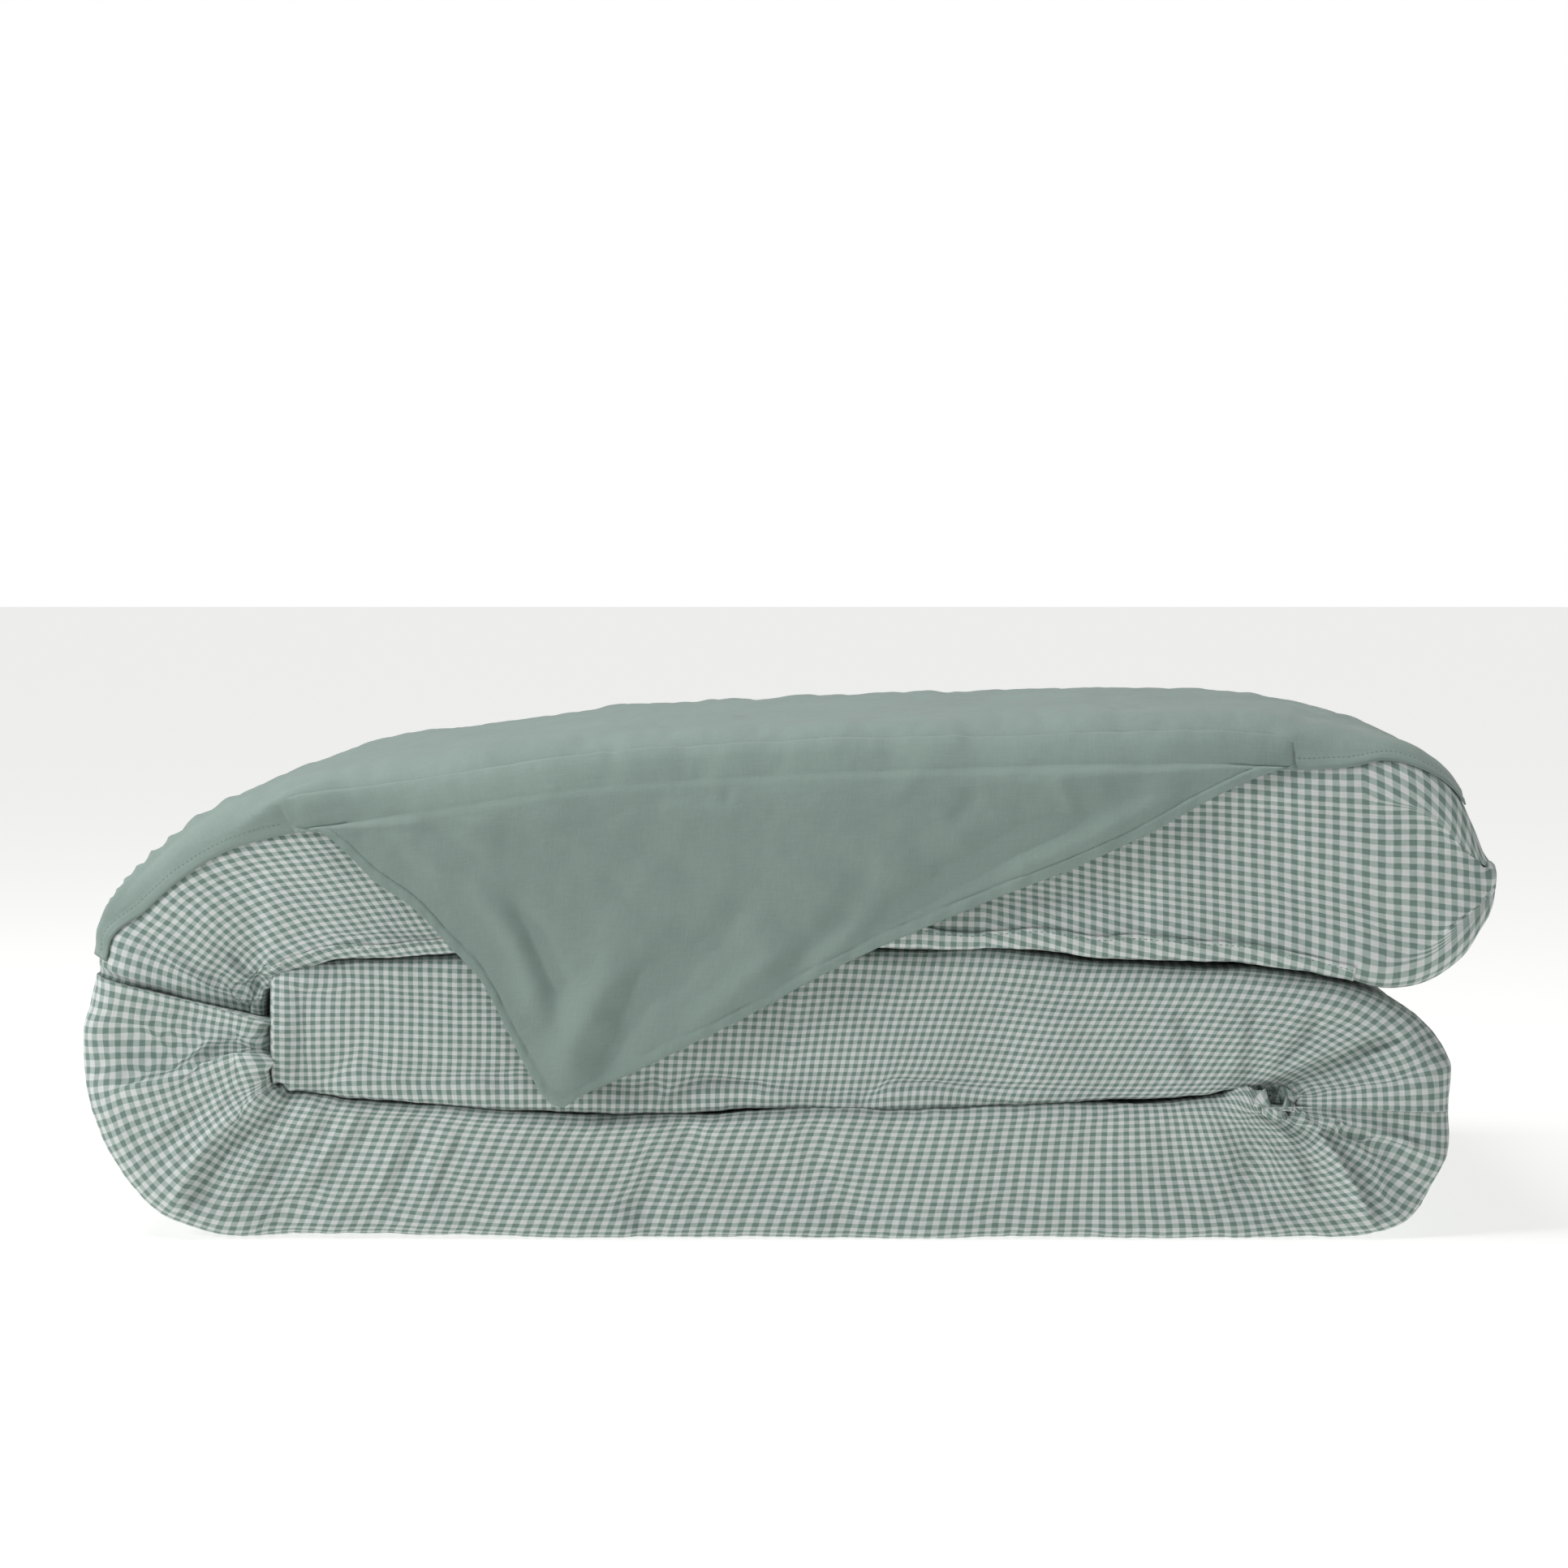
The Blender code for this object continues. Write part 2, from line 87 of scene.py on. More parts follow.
def cell_value(i, j, seed):
    n = (i * 374761393 + j * 668265263 + seed * 974634777) & 0xFFFFFFFF
    n = ((n ^ (n >> 13)) * 1274126177) & 0xFFFFFFFF
    return ((n ^ (n >> 16)) & 0xFFFF) / 32767.5 - 1


def noise(x, y, seed):
    """Smooth value noise between -1 and 1, the same on every run."""
    xi, yi = np.floor(x).astype(np.int64), np.floor(y).astype(np.int64)
    fx, fy = x - xi, y - yi
    fx = fx**3 * (fx * (fx * 6 - 15) + 10)
    fy = fy**3 * (fy * (fy * 6 - 15) + 10)
    low = cell_value(xi, yi, seed) * (1 - fx) + cell_value(xi + 1, yi, seed) * fx
    high = cell_value(xi, yi + 1, seed) * (1 - fx) + cell_value(xi + 1, yi + 1, seed) * fx
    return low * (1 - fy) + high * fy


def wrinkle(x, y, seed):
    """Ridged noise: narrow valleys between soft, full swells, from -1 to 0."""
    return -((1 - np.abs(noise(x, y, seed))) ** 3)


def path_length(points):
    """The distance walked along a line, at each of its points."""
    steps = np.linalg.norm(np.diff(points, axis=0), axis=1)
    return np.concatenate([[0], np.cumsum(steps)])


def read_rows(at, known, rows):
    """Rows of values, read between the places where they are known."""
    return np.stack([np.interp(at, known, column) for column in rows.T], -1)


# ---- the folded strip

GAP_LOW = curve([(-0.33, 0.094), (-0.294, 0.0875), (-0.245, 0.0855), (-0.197, 0.08), (-0.125, 0.0757),
                 (-0.06, 0.0763), (0.0, 0.0793), (0.074, 0.0785), (0.163, 0.0815), (0.243, 0.085),
                 (0.284, 0.088)])
GAP_HIGH = curve([(-0.33, 0.1655), (-0.285, 0.1725), (-0.236, 0.1745), (-0.17, 0.1785), (-0.05, 0.1795),
                  (0.084, 0.179), (0.137, 0.1785), (0.172, 0.1732), (0.244, 0.17), (0.3, 0.1668),
                  (0.34, 0.1618), (0.38, 0.153)])
LEFT_SPLIT = (-0.322, 0.136, -0.4305, 0.1625)
RIGHT_SPLIT = (0.2855, 0.0835, 0.4115, 0.078)


def leaning(places, low, high=None):
    """Stations across a flat run, from the inner face's x and how far the cloth leans from it."""
    return [(x, float(low(x)), x + lean, float(high(x + lean)) if high else 0.0) for x, lean in places]


TOP_HEIGHT = curve([(-0.3, 0.2825), (-0.215, 0.296), (-0.14, 0.3065), (-0.05, 0.313), (0.05, 0.3165),
                    (0.15, 0.319), (0.24, 0.3205), (0.31, 0.319), (0.36, 0.3115)])

BOTTOM_KEYS = [
    LEFT_SPLIT,
    (-0.323, 0.126, -0.4365, 0.139),
    (-0.323, 0.116, -0.4375, 0.106),
    (-0.3225, 0.107, -0.431, 0.072),
    (-0.3215, 0.0995, -0.4165, 0.0425),
    (-0.318, 0.0945, -0.3915, 0.0145),
    (-0.306, 0.09, -0.356, 0.0022),
    (-0.28, 0.0865, -0.318, 0.0),
    *leaning([(-0.224, -0.034), (-0.176, -0.033), (-0.116, -0.031), (-0.046, -0.029), (0.021, -0.026),
              (0.086, -0.02), (0.148, -0.012), (0.2, 0.0)], GAP_LOW),
    (0.238, 0.0845, 0.255, 0.0),
    (0.262, 0.0855, 0.302, 0.0),
    (0.2745, 0.086, 0.348, 0.0006),
    (0.28, 0.0856, 0.381, 0.007),
    (0.283, 0.085, 0.402, 0.028),
    (0.2847, 0.0843, 0.411, 0.053),
    RIGHT_SPLIT,
]
MIDDLE_KEYS = [
    (-0.3185, 0.095, -0.3185, 0.165),
    (-0.312, 0.0925, -0.312, 0.1665),
    (-0.3, 0.09, -0.3, 0.1692),
    *leaning([(-0.26, 0.0), (-0.2, 0.0), (-0.143, 0.003), (-0.078, 0.007), (-0.012, 0.012), (0.048, 0.022),
              (0.098, 0.034), (0.144, 0.04)], GAP_LOW, GAP_HIGH),
    (0.192, 0.083, 0.236, 0.1695),
    (0.236, 0.085, 0.287, 0.167),
    (0.264, 0.0872, 0.33, 0.162),
    (0.278, 0.0868, 0.368, 0.1505),
    (0.283, 0.086, 0.395, 0.132),
    (0.2848, 0.085, 0.4095, 0.107),
    RIGHT_SPLIT,
]
TOP_KEYS = [
    LEFT_SPLIT,
    (-0.3225, 0.1455, -0.428, 0.188),
    (-0.32, 0.1545, -0.4095, 0.213),
    (-0.308, 0.1645, -0.3885, 0.2385),
    (-0.278, 0.1735, -0.3605, 0.2595),
    (-0.243, 0.1745, -0.325, 0.2745),
    (-0.205, 0.1765, -0.278, 0.2865),
    *leaning([(-0.16, -0.055), (-0.104, -0.036), (-0.052, -0.018), (0.006, -0.006), (0.07, 0.0), (0.14, 0.0),
              (0.2, 0.0), (0.26, 0.0), (0.31, 0.0), (0.345, 0.0)], GAP_HIGH, TOP_HEIGHT),
    (0.372, 0.1535, 0.37, 0.3085),
    (0.392, 0.155, 0.39, 0.3005),
    (0.409, 0.164, 0.408, 0.286),
    (0.423, 0.179, 0.4215, 0.2665),
    (0.4325, 0.2, 0.431, 0.244),
    (0.4355, 0.219, 0.435, 0.226),
]

# Half depth of the layers, and how far each edge rounds in the face and in depth, along each strip.
# Rows: place along the strip's key list, half depth, inner rounding, outer rounding, depth of the
# inner rounding, depth of the outer rounding, front check height, check length.
BOTTOM_FORM = [
    (0, 0.278, 0.014, 0.024, 0.018, 0.03, 0.0063, 0.0086),
    (4, 0.28, 0.015, 0.022, 0.018, 0.028, 0.0063, 0.0088),
    (7, 0.281, 0.012, 0.012, 0.015, 0.019, 0.005, 0.0084),
    (11, 0.281, 0.011, 0.01, 0.014, 0.017, 0.0048, 0.0083),
    (16, 0.281, 0.011, 0.01, 0.014, 0.017, 0.0049, 0.0083),
    (18, 0.28, 0.012, 0.014, 0.017, 0.022, 0.0054, 0.0083),
    (20, 0.279, 0.012, 0.02, 0.018, 0.028, 0.0062, 0.0082),
    (22, 0.279, 0.012, 0.022, 0.018, 0.03, 0.0063, 0.0081),
]
MIDDLE_FORM = [
    (0, 0.2835, 0.007, 0.007, 0.01, 0.01, 0.0049, 0.006),
    (2, 0.2825, 0.01, 0.01, 0.014, 0.014, 0.0049, 0.006),
    (4, 0.28, 0.011, 0.011, 0.014, 0.014, 0.0049, 0.006),
    (7, 0.275, 0.011, 0.011, 0.014, 0.014, 0.0049, 0.006),
    (10, 0.276, 0.011, 0.012, 0.014, 0.015, 0.005, 0.0062),
    (13, 0.28, 0.013, 0.016, 0.018, 0.022, 0.0054, 0.0072),
    (15, 0.279, 0.012, 0.02, 0.018, 0.028, 0.006, 0.0078),
    (17, 0.279, 0.012, 0.022, 0.018, 0.03, 0.0063, 0.0081),
]
TOP_FORM = [
    (0, 0.278, 0.014, 0.024, 0.018, 0.03, 0.0063, 0.0086),
    (3, 0.279, 0.015, 0.03, 0.018, 0.038, 0.0058, 0.0078),
    (6, 0.28, 0.011, 0.038, 0.014, 0.044, 0.005, 0.0068),
    (11, 0.28, 0.011, 0.042, 0.014, 0.048, 0.0052, 0.007),
    (14, 0.28, 0.011, 0.042, 0.014, 0.048, 0.006, 0.0078),
    (16, 0.28, 0.013, 0.036, 0.018, 0.042, 0.0068, 0.009),
    (18, 0.279, 0.022, 0.03, 0.028, 0.036, 0.0076, 0.0105),
    (20, 0.274, 0.024, 0.026, 0.032, 0.036, 0.008, 0.0113),
    (22, 0.252, 0.0035, 0.0035, 0.036, 0.036, 0.008, 0.0113),
]

# Samples around one section: half of the inner face, a corner, the front, a corner, the outer
# face, a corner, the back, a corner, and the other half of the inner face.
INNER_HALF, INNER_TURN, FRONT, OUTER_TURN, OUTER, BACK = 14, 9, 40, 10, 56, 36
RING_COUNT = 2 * (INNER_HALF + INNER_TURN + OUTER_TURN) + FRONT + OUTER + BACK
FRONT_FIRST = INNER_HALF + INNER_TURN
OUTER_FIRST = FRONT_FIRST + FRONT + OUTER_TURN
BACK_TURN = OUTER_FIRST + OUTER
BACK_FIRST = BACK_TURN + OUTER_TURN
BACK_END = BACK_FIRST + BACK
ROUNDNESS = 2.5  # of the corners: 2 is a circle, more is squarer
ROUND_LIMIT = 0.48  # the largest rounding, as a share of the section's height
KEY_SPACING = 0.004  # the least distance between two rows of a key list
NOSE_FROM = 0.352
# First sample, end and anchor of the inner face, the outer face, the back and the inner face again.
NOSE_REGIONS = ((0, FRONT_FIRST, 0), (FRONT_FIRST + FRONT, BACK_FIRST, OUTER_FIRST + OUTER // 2),
                (BACK_FIRST, BACK_END, BACK_FIRST + BACK // 2), (BACK_END, RING_COUNT + 1, RING_COUNT))


def ring_points(length, half, r_in, r_out, d_in, d_out):
    """One section as arrays of the place from the inner to the outer edge, and the depth."""
    parts = []

    def turn(n, to_outer, side, start=None):
        """A round corner. With a start it is walked the other way, from there."""
        steps = np.arange(n) / n * math.pi / 2
        c, s = np.cos(steps) ** (2 / ROUNDNESS), np.sin(steps) ** (2 / ROUNDNESS)
        if to_outer:
            a, y = length - r_out + r_out * s, half - d_out + d_out * c
        else:
            a, y = r_in * (1 - c), half - d_in + d_in * s
        if start:
            a, y = np.append(start[0], a[:0:-1]), np.append(start[1], y[:0:-1])
        parts.append((a, side * y))

    def run(n, a0, a1, y0, y1):
        t = np.arange(n) / n
        parts.append((a0 + (a1 - a0) * t, y0 + (y1 - y0) * t))

    run(INNER_HALF, 0, 0, 0, d_in - half)
    turn(INNER_TURN, False, -1)
    run(FRONT, r_in, length - r_out, -half, -half)
    turn(OUTER_TURN, True, -1)
    run(OUTER, length, length, d_out - half, half - d_out)
    turn(OUTER_TURN, True, 1, (length, half - d_out))
    run(BACK, length - r_out, r_in, half, half)
    turn(INNER_TURN, False, 1, (r_in, half))
    run(INNER_HALF, 0, 0, half - d_in, 0)
    return np.concatenate(parts, axis=1)


class Strip:
    """One padded layer as a grid of stations along the strip by points around the section."""

    def __init__(self, keys, form, tilt=0.0):
        self.tilt = tilt
        keys, rows = np.array(keys, float), np.array(form, float)
        chord = np.hypot(np.diff(keys[:, 2]), np.diff(keys[:, 3]))
        place = np.concatenate([[0], np.cumsum(np.maximum(chord, KEY_SPACING))])
        self.s = np.linspace(0, place[-1], int(place[-1] / CLOTH_STEP / COARSE) * COARSE + 1)
        self.key = np.interp(self.s, place, np.arange(len(place)))
        self.ends = curve(np.column_stack([place, keys]))(self.s)
        form_place = np.interp(rows[:, 0], np.arange(len(place)), place)
        self.form = curve(np.column_stack([form_place, rows[:, 1:]]))(self.s)
        self.build()

    def build(self):
        inner, outer = self.ends[:, :2], self.ends[:, 2:]
        self.length = np.hypot(*(outer - inner).T)
        rings = []
        for length, (half, r_in, r_out, d_in, d_out) in zip(self.length, self.form[:, :5]):
            limit = ROUND_LIMIT * length
            rings.append(ring_points(length, half, min(r_in, limit), min(r_out, limit), d_in, d_out))
        self.a, self.y = np.stack(rings, 1)
        self.share = self.a / self.length[:, None]
        way = (outer - inner) / self.length[:, None]
        place = inner[:, None] + way[:, None] * self.a[..., None]
        self.points = np.stack([place[..., 0], self.y, place[..., 1]], -1)
        self.cloth_place()

    def cloth_place(self):
        """Cloth coordinates: u along the strip, v across it from the middle of the front."""
        x = self.points[..., 0]
        ring = np.concatenate([self.points, self.points[:, :1]], 1)
        step = np.linalg.norm(np.diff(ring, axis=1), axis=2)
        front = ease(-self.y, 0.2, 0.26)
        fold = ease(np.abs(x), 0.3, 0.35) * (self.share - 0.5)
        fold = np.where((x > 0) & (self.tilt > 0), 0, fold)
        scale = 1 + (CHECK / (self.form[:, 5:6] * (1 + 0.46 * fold)) - 1) * front
        v = np.concatenate([np.zeros((len(self.s), 1)), np.cumsum(step * scale, 1)], 1)
        self.v = v - v[:, FRONT_FIRST + FRONT // 2][:, None]
        self.u = np.cumsum(np.diff(self.s, prepend=0) * CHECK / self.form[:, 6])
        if self.tilt:
            self.straighten_nose()
        slope = np.maximum(x - 0.12, 0)
        self.v[:, :-1] += self.tilt * slope * CHECK / self.form[:, 5:6] * front

    def straighten_nose(self):
        """Near the free end the checks run straight across the faces, anchored at their middles."""
        first = np.searchsorted(self.ends[:, 2], NOSE_FROM)
        for start, end, anchor in NOSE_REGIONS:
            shift = self.v[first, anchor] - self.v[first:, anchor]
            self.v[first:, start:end] += shift[:, None]


def normals(points, closed=True):
    ds = np.gradient(points, axis=0)
    dt = np.roll(points, -1, 1) - np.roll(points, 1, 1) if closed else np.gradient(points, axis=1)
    n = np.cross(ds, dt)
    return n / np.maximum(np.linalg.norm(n, axis=2, keepdims=True), 1e-12)


def resample(values, shape):
    """Bilinear growth of a coarse grid, closed around the section, then smoothed."""
    n, m = shape
    rows = np.linspace(0, values.shape[0] - 1, n)
    cols = np.arange(m) / m * values.shape[1]
    i = np.clip(np.floor(rows).astype(int), 0, values.shape[0] - 2)
    j = np.floor(cols).astype(int)
    fi, fj = (rows - i)[:, None, None], (cols - j)[None, :, None]
    j2 = (j + 1) % values.shape[1]
    low = values[i][:, j] * (1 - fj) + values[i][:, j2] * fj
    high = values[i + 1][:, j] * (1 - fj) + values[i + 1][:, j2] * fj
    out = low * (1 - fi) + high * fi
    for _ in range(2):
        out = (np.roll(out, 1, 1) + 2 * out + np.roll(out, -1, 1)) / 4
        out[1:-1] = (out[:-2] + 2 * out[1:-1] + out[2:]) / 4
    return out


def grid_cells(n, m, closed):
    i, j = np.meshgrid(np.arange(n - 1), np.arange(m if closed else m - 1), indexing="ij")
    return i.ravel(), j.ravel()


def grid_faces(n, m, closed):
    i, j = grid_cells(n, m, closed)
    j2 = (j + 1) % m
    return np.stack([i * m + j, i * m + j2, (i + 1) * m + j2, (i + 1) * m + j], -1)


def grid_uv(u, v, n, m, closed):
    """UVs of each face's corners. v has one column more than the grid when it closes."""
    i, j = grid_cells(n, m, closed)
    corners = [(i, j), (i, j + 1), (i + 1, j + 1), (i + 1, j)]
    return np.stack([np.stack([u[a, b], v[a, b]], -1) for a, b in corners], 1)


# ---- creases in the front and back

# Each crease is a line of listed points on the face, with its depth, its width, and the side
# of the line on which the cloth dips softly towards it. The other side is a full lip.
CREASES = [
    ([(-0.318, 0.1345), (-0.341, 0.1395), (-0.369, 0.1465), (-0.391, 0.153), (-0.412, 0.164)],
     0.0046, 0.0085, 1),
    ([(-0.375, 0.148), (-0.396, 0.1545), (-0.412, 0.1605), (-0.434, 0.168)], 0.0048, 0.007, -1),
    ([(-0.322, 0.109), (-0.342, 0.1095), (-0.365, 0.1062), (-0.385, 0.0985), (-0.424, 0.0915)],
     0.0075, 0.0078, -1),
    ([(-0.321, 0.109), (-0.333, 0.105), (-0.345, 0.1062)], 0.004, 0.0045, 1),
    ([(-0.315, 0.0915), (-0.329, 0.084), (-0.344, 0.0745), (-0.358, 0.062), (-0.37, 0.042),
      (-0.384, 0.012)], 0.0085, 0.009, 1),
    ([(-0.322, 0.152), (-0.336, 0.164), (-0.349, 0.181)], 0.002, 0.007, 1),
    ([(-0.34, 0.15), (-0.366, 0.166), (-0.385, 0.185)], 0.0014, 0.008, 1),
    ([(0.286, 0.09), (0.308, 0.0985), (0.327, 0.1085), (0.349, 0.1165), (0.38, 0.1285)], 0.0082, 0.0085, 1),
    ([(0.352, 0.118), (0.368, 0.1185), (0.384, 0.1245)], 0.0025, 0.0045, -1),
    ([(0.286, 0.088), (0.301, 0.0805), (0.325, 0.069), (0.346, 0.0715), (0.38, 0.065)], 0.0058, 0.007, -1),
    ([(0.325, 0.069), (0.339, 0.053), (0.351, 0.033), (0.36, 0.015), (0.3645, 0.004)], 0.0058, 0.0068, 1),
    ([(0.365, 0.065), (0.38, 0.063), (0.394, 0.054)], 0.0022, 0.005, 1),
    ([(-0.232, 0.07), (-0.244, 0.05), (-0.258, 0.02)], 0.0018, 0.008, 1),
    ([(-0.206, 0.068), (-0.216, 0.048), (-0.226, 0.018)], 0.0015, 0.009, 1),
    ([(-0.262, 0.078), (-0.283, 0.056), (-0.306, 0.024)], 0.0022, 0.009, 1),
    ([(-0.285, 0.083), (-0.31, 0.064), (-0.334, 0.038), (-0.346, 0.016)], 0.0024, 0.009, 1),
    ([(-0.355, 0.098), (-0.378, 0.078), (-0.4, 0.055)], 0.0022, 0.008, 1),
    ([(-0.345, 0.09), (-0.366, 0.07), (-0.386, 0.042)], 0.0022, 0.008, 1),
    ([(0.3, 0.102), (0.318, 0.125), (0.33, 0.148)], 0.002, 0.009, 1),
    ([(0.282, 0.1), (0.286, 0.125), (0.288, 0.15)], 0.0016, 0.01, 1),
    ([(0.25, 0.098), (0.246, 0.125), (0.238, 0.148)], 0.0014, 0.011, 1),
    ([(0.305, 0.07), (0.316, 0.048), (0.322, 0.022)], 0.0014, 0.009, 1),
]
CREASE_DEPTH = 1.9  # all creases are this much deeper than their rows say
CREASE_LIMIT, LIP_LIMIT = 0.0105, 0.0015


def crease_depth(x, z, lines):
    """How far each point of a face is pressed in by the creases."""
    total = np.zeros_like(x)
    for points, depth, width, side in lines:
        p = np.array(points, float)
        seg, walked = np.diff(p, axis=0), path_length(p)
        near, signed, along = np.full(x.shape, 9.0), np.zeros_like(x), np.zeros_like(x)
        for k in range(len(seg)):
            dx, dz = x - p[k, 0], z - p[k, 1]
            length = walked[k + 1] - walked[k]
            t = np.clip((dx * seg[k, 0] + dz * seg[k, 1]) / length**2, 0, 1)
            d = np.hypot(dx - t * seg[k, 0], dz - t * seg[k, 1])
            cross = seg[k, 0] * dz - seg[k, 1] * dx
            closer = d < near
            near = np.where(closer, d, near)
            signed = np.where(closer, d * np.sign(cross) * side, signed)
            along = np.where(closer, walked[k] + t * length, along)
        share = along / walked[-1]
        fade = ease(share, -0.02, 0.12) * (1 - ease(share, 0.72, 1.0)) * 0.999 + 0.001
        fade = np.where(share <= 0, 0.3 * np.exp(-(near / width) ** 2), fade)
        off = np.abs(signed) / width
        lip = 0.34 * np.exp(-(((off - 0.75) / 0.5) ** 2)) - 0.85 * np.exp(-(off / 0.34) ** 1.5)
        total += CREASE_DEPTH * depth * fade * np.where(signed < 0, -np.exp(-off), lip)
    # Where creases meet they don't add up to a hole, and the lips beside them stay low.
    limit = np.where(total < 0, CREASE_LIMIT, LIP_LIMIT)
    return limit * np.tanh(total / limit)


def back_side(lines):
    """The creases of the back: the same gathers, shifted and a little different in depth."""
    out = []
    for i, (points, depth, width, side) in enumerate(lines):
        shift = 0.004 * math.sin(2.3 * i)
        moved = [(x, z + shift * min(1, 3 * k)) for k, (x, z) in enumerate(points)]
        out.append((moved, depth * (0.8 + 0.3 * math.sin(1.7 * i + 1)), width * 1.1, side))
    return out


TUCK, TIP = (-0.318, 0.13), (0.286, 0.0865)  # where the left and the right fold's creases meet
SPLIT_BLEND = 0.014  # up to here from a fold's split the cloth moves within the split's plane
STILL_END = 0.02  # up to here from it the cloth's own waves fade out
FACE_FROM, FACE_FULL = 0.225, 0.272  # depths between which the front and back faces take over
SWELL, BACK_SWELL = 0.0045, 0.8  # fullness of the front face, and the back's share of it
PULL = 0.009  # how far the cloth is pulled in where the creases meet
GATHER, WAVE, SOFT_WAVE = 0.0011, 0.0014, 0.001
SETTLED = 0.0004  # faces that lie on a neighbour stay at least this far inside it


def shape_layer(strip, seed, fade_start, fade_end, calm_back=False):
    """Adds the fullness, the gathers and the creases to the plain section grid."""
    p, share = strip.points, strip.share
    n = normals(p)
    x, y, z = p[..., 0], p[..., 1], p[..., 2]
    to_end = 1.0
    # At a fold's split the two layers share one section, so both move only within its plane.
    for wanted, station, distance in ((fade_start, 0, strip.s), (fade_end, -1, strip.s[-1] - strip.s)):
        if wanted:
            way = strip.ends[station, 2:] - strip.ends[station, :2]
            square = np.array([way[1], 0, -way[0]]) / np.hypot(*way)
            near = (1 - ease(distance, 0.0, SPLIT_BLEND))[:, None, None]
            n = n - near * (n @ square)[..., None] * square
            n = n / np.maximum(np.linalg.norm(n, axis=2, keepdims=True), 1e-9)
            to_end = to_end * ease(distance, 0.0, STILL_END)[:, None]
    front, back = ease(-y, FACE_FROM, FACE_FULL), ease(y, FACE_FROM, FACE_FULL)
    u, v = strip.u[:, None] + 0 * x, strip.v[:, :-1]
    swell = SWELL * (1 - (2 * share - 1) ** 2)
    out = swell * (front + (0.0 if calm_back else BACK_SWELL) * back)
    tuck = np.hypot(x - TUCK[0], (z - TUCK[1]) / 1.5)
    tip = np.hypot(x - TIP[0], z - TIP[1])
    into = (x < -0.319) * ease(-x, 0.3195, 0.33)
    out = out - PULL * np.exp(-((tuck / 0.045) ** 2)) * (front + back) * into
    out = out - PULL * np.exp(-((tip / 0.02) ** 1.6)) * (front + back)
    # Gathers that run in from the folds' outer edges towards the tucks.
    reach = np.exp(-((tuck / 0.085) ** 2)) * into + np.exp(-((tip / 0.085) ** 2)) * (tip > 0.004)
    side = np.where(y < 0, 0, 37.0)
    gathers = 0.8 * noise(u / 0.019 + side, v / 0.12, seed + 1)
    gathers = gathers + 0.5 * wrinkle(u / 0.031 + side, v / 0.15, seed + 2)
    out = out + GATHER * gathers * reach * to_end * (front + back)
    # Slow waves, soft wrinkles and small rumples of the whole cloth.
    wave = WAVE * noise(u / 0.085, v / 0.11, seed + 3)
    soft = SOFT_WAVE * noise(u / 0.032 + 0.4 * noise(u / 0.06, v / 0.06, seed), v / 0.052, seed + 4)
    fine = 0.00032 * noise(u / 0.011, v / 0.019, seed + 5) + 0.00022 * noise(u / 0.006, v / 0.006, seed + 6)
    calm = 1 - 0.75 * ease(y, 0.24, 0.27) if calm_back else 1.0
    rumple = (wave + soft + fine) * calm
    # Faces that lie on a neighbour or on the floor only give way inwards.
    lying = (1 - np.maximum(front, back)) * (share < 0.5)
    rumple = np.where(lying > 0.5, -np.abs(rumple) - SETTLED, rumple)
    out = out + rumple * to_end
    creases = crease_depth(x, z, CREASES) * front + crease_depth(x, z, back_side(CREASES)) * back
    if calm_back:
        creases = np.where((y > 0) & (np.abs(x) < 0.3), 0, creases)
    strip.points = p + n * (out + creases)[..., None]
    strip.points[..., 2] = np.maximum(strip.points[..., 2], 0.0)


FRAMES = 20
HELD = 0.9  # how firmly the inner faces are held while the layer is blown up
GROWN_FROM, GROWN_FULL = 0.235, 0.268  # depths between which a face moves as the cloth did
CLOTH_SETTINGS = dict(quality=5, mass=0.2, tension_stiffness=18, compression_stiffness=18, shear_stiffness=6,
                      bending_stiffness=0.4, use_pressure=True, uniform_pressure_force=4, shrink_min=-0.055,
                      vertex_group_mass="pins")


def add_object(name, data):
    obj = bpy.data.objects.new(name, data)
    bpy.context.scene.collection.objects.link(obj)
    return obj


